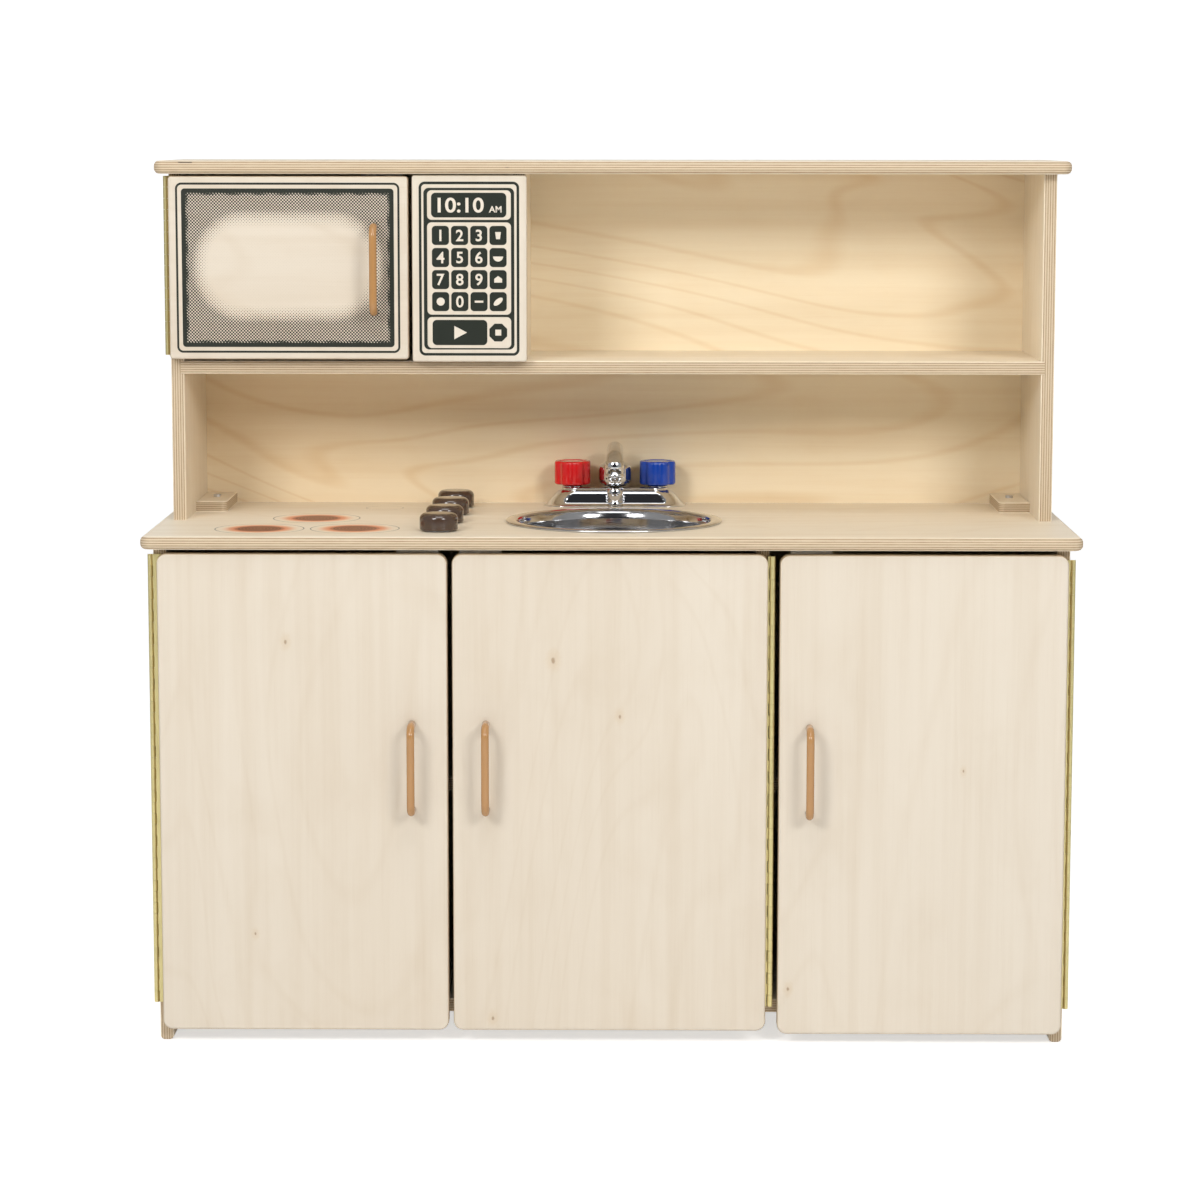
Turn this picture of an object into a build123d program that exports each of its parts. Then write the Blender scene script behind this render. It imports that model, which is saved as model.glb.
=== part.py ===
from build123d import *
import os

# Toy kitchen: base cabinet with three doors, worktop with hob knobs, sink and tap, and a hutch with
# a shelf and a toy microwave. Frame: millimetres, +Z up, front faces -Y, origin on the floor under
# the middle of the bounding box.

# ---------------------------------------------------------------- driving dimensions
PLY = 15.0                  # plywood thickness
BACK_PLY = 5.0              # back panel thickness
DEPTH = 381.0               # worktop front edge to back face
HANDLE_REACH = 33.0         # handle front in front of its door
HINGE_GAP = 2.0             # gap behind a door that holds the two folded hinge leaves
OVERHANG = 9.0              # worktop front edge in front of the doors
WORKTOP_FRONT = -(DEPTH + HANDLE_REACH - OVERHANG) / 2 + HANDLE_REACH - OVERHANG
BACK = WORKTOP_FRONT + DEPTH
BACK_FACE = BACK - BACK_PLY
DOOR_FRONT = WORKTOP_FRONT + OVERHANG
PANEL_FRONT = DOOR_FRONT + PLY + HINGE_GAP

WORKTOP_WIDTH = 1040.0
WORKTOP_TOP = 574.0
WORKTOP_UNDER = WORKTOP_TOP - PLY
EDGE_ROUND = 6.0            # rounding of the worktop and top board edges
EASE = 1.5                  # eased edge of a plain panel
FOOT_ROUND = 5.0            # rounding of the side panels where they stand on the floor

BASE_HALF = 508.0           # half of the cabinet's outer width
BOTTOM_UNDER = 33.4         # underside of the bottom panel
BOTTOM_TOP = BOTTOM_UNDER + PLY
DIVIDER_RIGHT = 175.3       # right face of the divider
BASE_SHELF_TOP = 290.0
BASE_SHELF_FRONT = PANEL_FRONT + 60.0

HUTCH_HALF = 504.0          # half of the hutch's outer width
HUTCH_FRONT = WORKTOP_FRONT + 172.5
TOP_UNDER = 969.0
TOP_TOP = TOP_UNDER + PLY
TOP_HALF = 518.5
TOP_FRONT = WORKTOP_FRONT + 150.0
SHELF_TOP = 757.0
SHELF_UNDER = SHELF_TOP - PLY
DADO = 4.0                  # how far the shelf ends go into the hutch sides
MICRO_FRONT = HUTCH_FRONT - HINGE_GAP - PLY

DOOR_CORNER = 11.0          # corner radius of a cabinet door in front view
MICRO_CORNER = 4.0          # the same for the microwave door
DOOR_ROUND = 3.0            # rounding of a door's front edge

# Each door: x and z ranges, front face, x of the hinge axis, side of the hinge (-1 left, +1 right), foot
# and number of knuckles of the hinge, middle of the handle, and the catch with the board it hangs under
HINGE_SIDE_GAP = 0.2        # hinge barrel to the outer face of the panel it is fixed to
BARREL_R = 2.9
PIN_R = 1.2
BASE_AXIS = BASE_HALF + HINGE_SIDE_GAP + BARREL_R
MIDDLE_AXIS = DIVIDER_RIGHT + HINGE_SIDE_GAP + BARREL_R
MICRO_AXIS = HUTCH_HALF + HINGE_SIDE_GAP + BARREL_R
DOORS = {
    "left": dict(x=(-502.5, -181.3), z=(16.0, 554.0), front=DOOR_FRONT, axis=-BASE_AXIS, side=-1,
                 hinge_z=44.0, knuckles=40, handle=(-221.0, 316.0), catch=(-215.0, WORKTOP_UNDER)),
    "middle": dict(x=(-176.0, 173.5), z=(16.0, 554.0), front=DOOR_FRONT, axis=MIDDLE_AXIS, side=1,
                   hinge_z=44.0, knuckles=40, handle=(-138.7, 316.0), catch=(-145.0, WORKTOP_UNDER)),
    "right": dict(x=(186.5, 505.0), z=(12.5, 553.5), front=DOOR_FRONT, axis=BASE_AXIS, side=1,
                  hinge_z=39.0, knuckles=40, handle=(220.3, 312.5), catch=(222.0, WORKTOP_UNDER)),
    "microwave": dict(x=(-503.0, -231.0), z=(759.5, 966.5), front=MICRO_FRONT, axis=-MICRO_AXIS,
                      side=-1, hinge_z=763.5, knuckles=16, handle=(-269.2, 862.0),
                      catch=(-262.0, TOP_UNDER), corner=MICRO_CORNER),
}

# Piano hinge
LEAF = 0.9                  # leaf thickness
LEAF_WIDTH = 12.5           # from the pin's axis to the leaf's edge
LEAF_SCREW_LINE = 8.9       # from the pin's axis to the line of screws
KNUCKLE_PITCH = 12.7
KNUCKLE_GAP = 0.3           # between neighbouring knuckles
KNUCKLE_CLEAR = 0.4         # notch of a leaf round the other leaf's knuckles
PIN_CLEAR = 0.05            # radial running clearance on the pin

# Flat-head screws of the hinges and strike plates
SCREW_R = 1.3
SCREW_HEAD_R = 2.3
SCREW_LENGTH = 12.0
SCREW_FIT = 0.05            # radial room round a screw
SCREWS_PER_KNUCKLES = 8     # one screw for this many knuckles
EDGE_LEAF_WIDTH = 12.0      # leaf on the edge of the middle door, from the axis back
EDGE_SCREW_LINE = 7.0       # its screws behind the axis
SIDE_LEAF_HOLD = 12.5       # how far the middle hinge's fixed leaf runs back along the divider
SIDE_SCREW_LINE = 7.0       # its screws behind the divider's front edge
LEAF_END_GAP = 0.3          # fixed leaf of the middle hinge above the bottom panel

# Wire pull handle
HANDLE_CENTRES = 96.0
HANDLE_WIRE_R = 4.4
HANDLE_BEND = 11.0
HANDLE_BORE_R = 1.9
HANDLE_BORE_DEPTH = 16.0
PAN_HEAD_R = 4.0
PAN_HEAD_HEIGHT = 2.4

# Magnetic catch and strike plate
CATCH = (46.0, 15.0, 13.0)  # width, depth, height
CATCH_GAP = 0.5             # catch face to strike plate
STRIKE = (34.0, 1.2, 12.0)

# Sink
SINK_X = 2.0
SINK_Y = WORKTOP_FRONT + 163.4
SINK_RIM_R = 123.6
SINK_MOUTH_R = 109.0
SINK_DEPTH = 92.0
SINK_WALL = 1.2
SINK_RIM_HEIGHT = 3.2
SINK_FLOOR_R = 45.0         # flat part of the bowl's floor
SINK_LIP = 6.0              # the bowl's wall stops this far below the worktop's top
SINK_LIP_LEAN = 1.5         # the lip leans out this much
SINK_CUTOUT_R = 113.0

# Tap
TAP_X = 2.5
TAP_Y = WORKTOP_FRONT + 346.0
TAP_CENTRES = 101.6
TAP_BASE = (170.0, 54.0)    # footprint
TAP_DECK = (127.0, 40.0)    # top plate
TAP_BASE_HEIGHT = 22.5
TAP_LIP = 1.6
TAP_KNOB_R = 22.2
TAP_KNOB_HEIGHT = 28.0
TAP_KNOB_LIFT = 3.0         # bottom of a knob above the deck
TAP_LOBES = 8
SCALLOP_R = 11.0            # each scallop is cut by a circle of this radius
SCALLOP_OUT = 9.5           # with its centre this far outside the knob
SPOUT_R = 9.8
SPOUT_REACH = 100.0
SPOUT_CENTRE_TOP = WORKTOP_TOP + 68.0
HUB_R = 19.8
HUB_HEIGHT = 28.0
HUB_ROUND = 9.0              # leaves a flat top just wider than the spout tube
AERATOR_R = 11.3
AERATOR_FOOT = 43.0         # underside of the aerator above the worktop
AERATOR_HEIGHT = 19.0
AERATOR_MOUTH = (7.5, 2.4)  # radius and depth of the recess in its underside
SPOUT_BENDS = (19, 15)      # bend radii over the hub and over the tip
SPOUT_FALL = 4.0            # the tube drops this much towards its tip
HUB_LIFT = 1.0              # spout hub above the deck
TAP_DECK_PLATE = 3.0
TAP_SHOULDER = 9.0          # height of the body's shoulder
TAP_BOSS_R = 11.0           # round boss in the middle of the body's front
TAP_SHANK_R = 10.0
TAP_SHANK_LENGTH = 50.0
TAP_STEM_R = 4.0
TAP_STEM_HEIGHT = 18.0
TAP_COLLAR_R = 12.0
SPOUT_STEM_R = 5.0
STEM_RUN = 0.08             # radial running clearance of a knob or the spout on its stem
TAP_NUT = (18.0, 9.0)       # radius over the corners and height

# Hob knobs: a front-to-back row
KNOB_R = 21.4
KNOB_HEIGHT = 18.6
KNOB_TOP_ROUND = 6.5
KNOB_LIFT = 1.6             # knob underside above the worktop, over the pivot's collar
KNOB_COLLAR_R = 14.0
KNOB_GAP = 0.3              # collar to knob
KNOB_FRONT_Y = WORKTOP_FRONT + 64.0
KNOB_PITCH = 86.0
KNOB_FRONT_X = -193.0
KNOB_DRIFT = 2.2            # sideways step from one knob to the next
PIVOT_R = 3.0
PIVOT_RUN = 0.08            # radial running clearance of a knob on its pivot
PIVOT_RISE = 11.0           # pivot into the knob
PIVOT_HEAD = (5.8, 4.0)     # hexagon under the worktop: radius over the corners and height

# Keypad panel and its partition
KEYPAD_X = (-226.8, -96.7)
KEYPAD_Z = (757.0, 967.5)
PARTITION_RIGHT = -98.5

# Corner cleats
CLEAT = (36.0, 112.0, 12.0)
CLEAT_SCREW_Y = 52.0        # screw in front of the cleat's back end

os.makedirs("parts", exist_ok=True)


def save(piece, label):
    """Label a finished piece and write its STEP file."""
    piece.part.label = label
    export_step(piece.part, f"parts/{label}.step")


def slab(x, y, z):
    """Box between two corners, added to the part being built."""
    with Locations(((x[0] + x[1]) / 2, (y[0] + y[1]) / 2, (z[0] + z[1]) / 2)):
        Box(x[1] - x[0], y[1] - y[0], z[1] - z[0])


def screw_positions(door):
    """Heights of the hinge screws of a door, evenly spread over its hinge."""
    length = door["knuckles"] * KNUCKLE_PITCH
    count = door["knuckles"] // SCREWS_PER_KNUCKLES + 1
    step = (length - 2 * KNUCKLE_PITCH) / (count - 1)
    return [door["hinge_z"] + KNUCKLE_PITCH + i * step for i in range(count)]


def axis_y(door):
    """The hinge axis lies in the middle of the gap behind the door. The middle door has another door
    beside its hinge, so its axis lies where the rounding of its front edge ends."""
    if door is DOORS["middle"]:
        return door["front"] + DOOR_ROUND
    return door["front"] + PLY + HINGE_GAP / 2


def screw_x(door):
    """Line of the hinge screws, just beyond the middle of the leaf."""
    return door["axis"] - door["side"] * LEAF_SCREW_LINE


def drill(places, depth, rotation):
    """Pilot holes of the hinge screws, cut into the part being built."""
    with Locations(*places):
        Cylinder(SCREW_R + SCREW_FIT, depth, rotation=rotation,
                 align=(Align.CENTER, Align.CENTER, Align.MIN), mode=Mode.SUBTRACT)


# ---------------------------------------------------------------- base cabinet
def base_side(label, side):
    """Side panel of the cabinet; it runs down to the floor, where its edge is rounded."""
    inner = side * (BASE_HALF - PLY)
    outer = side * BASE_HALF
    with BuildPart() as panel:
        slab(sorted((inner, outer)), (PANEL_FRONT, BACK_FACE), (0, WORKTOP_UNDER))
        fillet(panel.edges().filter_by(Axis.Y).group_by(Axis.Z)[0], FOOT_ROUND)
        fillet(panel.edges().filter_by(Axis.Z).group_by(Axis.Y)[0], EASE)
        door = DOORS["left" if side < 0 else "right"]
        cut_fixed_screw_holes(door)
    save(panel, label)


def cut_fixed_screw_holes(door):
    """Pilot holes for the screws of a fixed hinge leaf, in a panel's front edge."""
    front = axis_y(door) + HINGE_GAP / 2
    drill([(screw_x(door), front, z) for z in screw_positions(door)], SCREW_LENGTH, (-90, 0, 0))


base_side("base_side_left", -1)
base_side("base_side_right", 1)

with BuildPart() as base_divider:
    slab((DIVIDER_RIGHT - PLY, DIVIDER_RIGHT), (PANEL_FRONT, BACK_FACE), (BOTTOM_TOP, WORKTOP_UNDER))
    fillet(base_divider.edges().filter_by(Axis.Z).group_by(Axis.Y)[0], EASE)
    line = PANEL_FRONT + SIDE_SCREW_LINE
    side_screws = [(DIVIDER_RIGHT, line, height) for height in screw_positions(DOORS["middle"])]
    drill(side_screws, SCREW_LENGTH, (0, -90, 0))
save(base_divider, "base_divider")

with BuildPart() as base_bottom:
    slab((PLY - BASE_HALF, BASE_HALF - PLY), (PANEL_FRONT, BACK_FACE), (BOTTOM_UNDER, BOTTOM_TOP))
    fillet(base_bottom.edges().filter_by(Axis.X).group_by(Axis.Y)[0], EASE)
save(base_bottom, "base_bottom")

with BuildPart() as base_back:
    slab((-BASE_HALF, BASE_HALF), (BACK_FACE, BACK), (BOTTOM_UNDER, WORKTOP_UNDER))
    chamfer(base_back.edges().filter_by(Axis.Z).group_by(Axis.Y)[-1], 0.5)
save(base_back, "base_back")


def base_shelf(label, left, right):
    """Inner shelf, set back behind the doors."""
    with BuildPart() as shelf:
        slab((left, right), (BASE_SHELF_FRONT, BACK_FACE), (BASE_SHELF_TOP - PLY, BASE_SHELF_TOP))
        fillet(shelf.edges().filter_by(Axis.X).group_by(Axis.Y)[0], EASE)
    save(shelf, label)


base_shelf("base_shelf_left", PLY - BASE_HALF, DIVIDER_RIGHT - PLY)
base_shelf("base_shelf_right", DIVIDER_RIGHT, BASE_HALF - PLY)

# ---------------------------------------------------------------- worktop
KNOB_PLACES = [(KNOB_FRONT_X + i * KNOB_DRIFT, KNOB_FRONT_Y + i * KNOB_PITCH) for i in range(4)]
TAP_SHANKS = [(TAP_X + s * TAP_CENTRES / 2, TAP_Y) for s in (-1, 1)]

with BuildPart() as worktop:
    slab((-WORKTOP_WIDTH / 2, WORKTOP_WIDTH / 2), (WORKTOP_FRONT, BACK), (WORKTOP_UNDER, WORKTOP_TOP))
    corner_edges = worktop.edges().filter_by(Axis.Z)
    fillet(corner_edges.group_by(Axis.Y)[0], 12.0)
    fillet(corner_edges.group_by(Axis.Y)[-1], 3.0)
    rims = worktop.faces().filter_by(Axis.Z).edges()
    fillet(rims, EDGE_ROUND)
    with Locations((SINK_X, SINK_Y, WORKTOP_UNDER)):
        Cylinder(SINK_CUTOUT_R, PLY, align=(Align.CENTER, Align.CENTER, Align.MIN), mode=Mode.SUBTRACT)
    with Locations(*[(x, y, WORKTOP_UNDER) for x, y in TAP_SHANKS]):
        Cylinder(TAP_SHANK_R + 0.5, PLY, align=(Align.CENTER, Align.CENTER, Align.MIN), mode=Mode.SUBTRACT)
    with Locations(*[(x, y, WORKTOP_UNDER) for x, y in KNOB_PLACES]):
        Cylinder(PIVOT_R + SCREW_FIT, PLY, align=(Align.CENTER, Align.CENTER, Align.MIN), mode=Mode.SUBTRACT)
save(worktop, "worktop")


# ---------------------------------------------------------------- hutch
def hutch_side(label, side):
    """Side panel of the hutch, with a housing for the end of the shelf."""
    inner = side * (HUTCH_HALF - PLY)
    outer = side * HUTCH_HALF
    with BuildPart() as panel:
        slab(sorted((inner, outer)), (HUTCH_FRONT, BACK_FACE), (WORKTOP_TOP, TOP_UNDER))
        fillet(panel.edges().filter_by(Axis.Z).group_by(Axis.Y)[0], EASE)
        with Locations((inner + side * DADO / 2, (HUTCH_FRONT + BACK_FACE) / 2, SHELF_TOP - PLY / 2)):
            Box(DADO, BACK_FACE - HUTCH_FRONT, PLY, mode=Mode.SUBTRACT)
        if side < 0:
            cut_fixed_screw_holes(DOORS["microwave"])
    save(panel, label)


hutch_side("hutch_side_left", -1)
hutch_side("hutch_side_right", 1)

with BuildPart() as hutch_shelf:
    shelf_half = HUTCH_HALF - PLY + DADO
    slab((-shelf_half, shelf_half), (HUTCH_FRONT, BACK_FACE), (SHELF_UNDER, SHELF_TOP))
    fillet(hutch_shelf.edges().filter_by(Axis.X).group_by(Axis.Y)[0], EASE)
save(hutch_shelf, "hutch_shelf")

with BuildPart() as hutch_top:
    slab((-TOP_HALF, TOP_HALF), (TOP_FRONT, BACK), (TOP_UNDER, TOP_TOP))
    corner_edges = hutch_top.edges().filter_by(Axis.Z)
    fillet(corner_edges.group_by(Axis.Y)[0], 10.0)
    fillet(corner_edges.group_by(Axis.Y)[-1], 3.0)
    rims = hutch_top.faces().filter_by(Axis.Z).edges()
    fillet(rims, EDGE_ROUND)
save(hutch_top, "hutch_top")

with BuildPart() as hutch_back:
    slab((-HUTCH_HALF, HUTCH_HALF), (BACK_FACE, BACK), (WORKTOP_TOP, TOP_UNDER))
    chamfer(hutch_back.edges().filter_by(Axis.Z).group_by(Axis.Y)[-1], 0.5)
save(hutch_back, "hutch_back")

with BuildPart() as microwave_partition:
    slab((PARTITION_RIGHT - PLY, PARTITION_RIGHT), (MICRO_FRONT + PLY, BACK_FACE), (SHELF_TOP, TOP_UNDER))
save(microwave_partition, "microwave_partition")

with BuildPart() as keypad_panel:
    slab(KEYPAD_X, (MICRO_FRONT, MICRO_FRONT + PLY), KEYPAD_Z)
    fillet(keypad_panel.edges().filter_by(Axis.Y), 3.0)
    fillet(keypad_panel.faces().sort_by(Axis.Y)[0].edges(), 2.0)
save(keypad_panel, "keypad_panel")


# ---------------------------------------------------------------- corner cleats
CLEAT_OUTER = HUTCH_HALF - PLY


def cleat(label, side):
    """Strip screwed down in the corner between the worktop and a hutch side."""
    inner = side * (CLEAT_OUTER - CLEAT[0])
    outer = side * CLEAT_OUTER
    with BuildPart() as strip:
        slab(sorted((inner, outer)), (BACK_FACE - CLEAT[1], BACK_FACE), (WORKTOP_TOP, WORKTOP_TOP + CLEAT[2]))
        front = strip.edges().filter_by(Axis.Z).group_by(Axis.Y)[0]
        fillet(front.sort_by(Axis.X)[-1 if side < 0 else 0], 7.0)
        fillet(strip.faces().sort_by(Axis.Z)[-1].edges(), 1.2)
        with Locations((side * (CLEAT_OUTER - CLEAT[0] / 2), BACK_FACE - CLEAT_SCREW_Y, WORKTOP_TOP)):
            Cylinder(2.2, CLEAT[2], align=(Align.CENTER, Align.CENTER, Align.MIN), mode=Mode.SUBTRACT)
    save(strip, label)


cleat("cleat_left", -1)
cleat("cleat_right", 1)

with BuildPart() as cleat_screws:
    for side in (-1, 1):
        top = Plane((side * (CLEAT_OUTER - CLEAT[0] / 2), BACK_FACE - CLEAT_SCREW_Y, WORKTOP_TOP + CLEAT[2]))
        with BuildSketch(top.offset(-CLEAT[2])):
            Circle(2.1)
        extrude(amount=CLEAT[2])
        with BuildSketch(top):
            Circle(4.6)
        extrude(amount=2.6)
        with BuildSketch(top.offset(2.6)):
            Rectangle(5.2, 1.1)
            Rectangle(1.1, 5.2)
        extrude(amount=-1.2, mode=Mode.SUBTRACT)
save(cleat_screws, "cleat_screws")


# ---------------------------------------------------------------- doors
def door_panel(label, door):
    """Plywood door with rounded corners and a rounded front edge, drilled for handle and hinge."""
    x, z = door["x"], door["z"]
    back = door["front"] + PLY
    handle_x, handle_z = door["handle"]
    with BuildPart() as panel:
        slab(x, (door["front"], back), z)
        fillet(panel.edges().filter_by(Axis.Y), door.get("corner", DOOR_CORNER))
        fillet(panel.faces().sort_by(Axis.Y)[0].edges(), DOOR_ROUND)
        with Locations(*[(handle_x, back, handle_z + s * HANDLE_CENTRES / 2) for s in (-1, 1)]):
            Cylinder(HANDLE_BORE_R + 0.4, 2 * PLY + 1, rotation=(90, 0, 0), mode=Mode.SUBTRACT)
        heights = screw_positions(door)
        if door is DOORS["middle"]:
            line = axis_y(door) + EDGE_SCREW_LINE
            drill([(x[1], line, height) for height in heights], SCREW_LENGTH, (0, -90, 0))
        else:
            drill([(screw_x(door), back, height) for height in heights], SCREW_LENGTH, (90, 0, 0))
    save(panel, label)


def wire_handle(label, door):
    """Bow of round wire standing on the door, bored at both feet for its screws."""
    handle_x, handle_z = door["handle"]
    face = door["front"]
    reach = HANDLE_REACH - HANDLE_WIRE_R
    low, high = handle_z - HANDLE_CENTRES / 2, handle_z + HANDLE_CENTRES / 2
    with BuildPart() as handle:
        with BuildLine() as path:
            FilletPolyline((handle_x, face, low), (handle_x, face - reach, low),
                           (handle_x, face - reach, high), (handle_x, face, high), radius=HANDLE_BEND)
        with BuildSketch(Plane(origin=path.line @ 0, z_dir=path.line % 0)):
            Circle(HANDLE_WIRE_R)
        sweep(path=path.line)
        with Locations((handle_x, face, low), (handle_x, face, high)):
            Cylinder(HANDLE_BORE_R, HANDLE_BORE_DEPTH, rotation=(90, 0, 0),
                     align=(Align.CENTER, Align.CENTER, Align.MIN), mode=Mode.SUBTRACT)
    save(handle, label)


def handle_screws(label, door):
    """Two pan-head machine screws from inside the door into the handle's feet."""
    handle_x, handle_z = door["handle"]
    back = door["front"] + PLY
    with BuildPart() as screws:
        for s in (-1, 1):
            seat = Plane((handle_x, back, handle_z + s * HANDLE_CENTRES / 2), z_dir=(0, 1, 0))
            with BuildSketch(seat.offset(PAN_HEAD_HEIGHT)):
                Circle(PAN_HEAD_R)
            extrude(amount=-PAN_HEAD_HEIGHT)
            with BuildSketch(seat):
                Circle(HANDLE_BORE_R - SCREW_FIT)
            extrude(amount=-(PLY + HANDLE_BORE_DEPTH - 1))
            with BuildSketch(seat.offset(PAN_HEAD_HEIGHT)):
                Rectangle(4.6, 0.9)
                Rectangle(0.9, 4.6)
            extrude(amount=-1.2, mode=Mode.SUBTRACT)
        fillet(screws.faces().filter_by(Axis.Y).group_by(Axis.Y)[-1].edges().filter_by(GeomType.CIRCLE), 1.0)
    save(screws, label)


# ---------------------------------------------------------------- piano hinges
def hinge_leaf(label, door, moving):
    """One leaf with its share of the knuckles; the other leaf's knuckles sit in its notches."""
    towards = -1 if moving else 1
    y0 = axis_y(door)
    inward = -door["side"]
    near = (towards * (HINGE_GAP / 2 - LEAF), towards * HINGE_GAP / 2)
    y = sorted(y0 + value for value in near)
    z0 = door["hinge_z"]
    length = door["knuckles"] * KNUCKLE_PITCH
    own = [i for i in range(door["knuckles"]) if i % 2 == (1 if moving else 0)]
    others = [i for i in range(door["knuckles"]) if i not in own]
    edge = door["axis"] + inward * LEAF_WIDTH
    notch = BARREL_R + KNUCKLE_CLEAR
    knuckle = KNUCKLE_PITCH - KNUCKLE_GAP
    with BuildPart() as leaf:
        slab(sorted((door["axis"], edge)), y, (z0, z0 + length))
        with Locations(*[(door["axis"], y0, z0 + (i + 0.5) * KNUCKLE_PITCH) for i in others]):
            Box(2 * notch, 2 * notch, KNUCKLE_PITCH + KNUCKLE_GAP, mode=Mode.SUBTRACT)
        with Locations(*[(door["axis"], y0, z0 + (i + 0.5) * KNUCKLE_PITCH) for i in own]):
            Cylinder(BARREL_R, knuckle)
        with Locations((door["axis"], y0, z0 + length / 2)):
            Cylinder(PIN_R + PIN_CLEAR, length + 2, mode=Mode.SUBTRACT)
        with Locations(*[(screw_x(door), y0 + towards * HINGE_GAP / 2, z) for z in screw_positions(door)]):
            Cone(SCREW_R + SCREW_FIT, SCREW_HEAD_R + SCREW_FIT, LEAF, rotation=(towards * 90, 0, 0),
                 align=(Align.CENTER, Align.CENTER, Align.MIN), mode=Mode.SUBTRACT)
    save(leaf, label)


def edge_hinge_leaf(label, door, moving):
    """One leaf of the middle door's hinge, both of which run back from the axis. The moving leaf lies on the
    door's edge and bends round behind its knuckles; the fixed leaf runs on past the door to the divider."""
    y0 = axis_y(door)
    z0 = door["hinge_z"]
    length = door["knuckles"] * KNUCKLE_PITCH
    centres = [z0 + (i + 0.5) * KNUCKLE_PITCH for i in range(door["knuckles"])]
    own = centres[1::2] if moving else centres[0::2]
    others = centres[0::2] if moving else centres[1::2]
    knuckle = KNUCKLE_PITCH - KNUCKLE_GAP
    face = door["x"][1] if moving else DIVIDER_RIGHT
    with BuildPart() as leaf:
        if moving:
            slab((face, face + LEAF), (y0, y0 + EDGE_LEAF_WIDTH), (z0, z0 + length))
            with Locations(*[((face + door["axis"]) / 2, y0 + BARREL_R - LEAF / 2, z) for z in own]):
                Box(door["axis"] - face, LEAF, knuckle)
        else:
            end = PANEL_FRONT + SIDE_LEAF_HOLD
            slab((face, face + LEAF), (y0, PANEL_FRONT), (z0, z0 + length))
            slab((face, face + LEAF), (PANEL_FRONT - LEAF, end), (BOTTOM_TOP + LEAF_END_GAP, z0 + length))
            notch = BARREL_R + KNUCKLE_CLEAR
            with Locations(*[(door["axis"], y0, z) for z in others]):
                Box(2 * notch, 2 * notch, KNUCKLE_PITCH + KNUCKLE_GAP, mode=Mode.SUBTRACT)
        with Locations(*[(door["axis"], y0, z) for z in own]):
            Cylinder(BARREL_R, knuckle)
        with Locations((door["axis"], y0, z0 + length / 2)):
            Cylinder(PIN_R + PIN_CLEAR, length + 2, mode=Mode.SUBTRACT)
        with Locations(*[(seat.origin.X, seat.origin.Y, z) for z in screw_positions(door)
                         for seat in [screw_seat(door, z, moving)]]):
            Cone(SCREW_R + SCREW_FIT, SCREW_HEAD_R + SCREW_FIT, LEAF, rotation=(0, 90, 0),
                 align=(Align.CENTER, Align.CENTER, Align.MIN), mode=Mode.SUBTRACT)
    save(leaf, label)


def screw_seat(door, height, moving):
    """Plane of the face a hinge screw goes into, looking out of the panel."""
    if door is DOORS["middle"] and moving:
        return Plane((door["x"][1], axis_y(door) + EDGE_SCREW_LINE, height), z_dir=(1, 0, 0))
    if door is DOORS["middle"]:
        return Plane((DIVIDER_RIGHT, PANEL_FRONT + SIDE_SCREW_LINE, height), z_dir=(1, 0, 0))
    towards = -1 if moving else 1
    return Plane((screw_x(door), axis_y(door) + towards * HINGE_GAP / 2, height), z_dir=(0, -towards, 0))


def flat_screws(label, doors, moving):
    """Flat-head screws of the leaves of some doors, flush with the leaf."""
    with BuildPart() as screws:
        for door in doors:
            for height in screw_positions(door):
                seat = screw_seat(door, height, moving)
                with BuildSketch(seat):
                    Circle(SCREW_R)
                with BuildSketch(seat.offset(LEAF - SCREW_FIT)):
                    Circle(SCREW_HEAD_R - 2 * SCREW_FIT)
                loft()
                with BuildSketch(seat):
                    Circle(SCREW_R)
                extrude(amount=-(SCREW_LENGTH - 0.5))
    save(screws, label)


for name, door in DOORS.items():
    door_panel(f"door_{name}", door)
    wire_handle(f"handle_{name}", door)
    handle_screws(f"handle_screws_{name}", door)
    make_leaf = edge_hinge_leaf if name == "middle" else hinge_leaf
    make_leaf(f"hinge_fixed_leaf_{name}", door, moving=False)
    make_leaf(f"hinge_door_leaf_{name}", door, moving=True)
    flat_screws(f"hinge_door_screws_{name}", [door], moving=True)

flat_screws("hinge_fixed_screws", DOORS.values(), moving=False)

with BuildPart() as hinge_pins:
    for door in DOORS.values():
        with BuildSketch(Plane((door["axis"], axis_y(door), door["hinge_z"]))):
            Circle(PIN_R)
        extrude(amount=door["knuckles"] * KNUCKLE_PITCH)
save(hinge_pins, "hinge_pins")

# ---------------------------------------------------------------- magnetic catches
with BuildPart() as door_catches:
    for door in DOORS.values():
        catch_x, ceiling = door["catch"]
        face = door["front"] + PLY + STRIKE[1] + CATCH_GAP
        slab((catch_x - CATCH[0] / 2, catch_x + CATCH[0] / 2), (face, face + CATCH[1]),
             (ceiling - CATCH[2], ceiling))
        with Locations(*[(catch_x + s * 9, face, ceiling - CATCH[2] / 2) for s in (-1, 1)]):
            Box(3.0, 1.0, 8.0, mode=Mode.SUBTRACT)
save(door_catches, "door_catches")


def strike_plate(label, door):
    """Steel plate on the inside of a door, which the catch's magnet pulls."""
    catch_x, ceiling = door["catch"]
    back = door["front"] + PLY
    with BuildPart() as plate:
        slab((catch_x - STRIKE[0] / 2, catch_x + STRIKE[0] / 2), (back, back + STRIKE[1]),
             (ceiling - STRIKE[2] - 8.0, ceiling - 8.0))
        fillet(plate.edges().filter_by(Axis.Y), 3.0)
    save(plate, label)


for name, door in DOORS.items():
    strike_plate(f"strike_plate_{name}", door)

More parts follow.
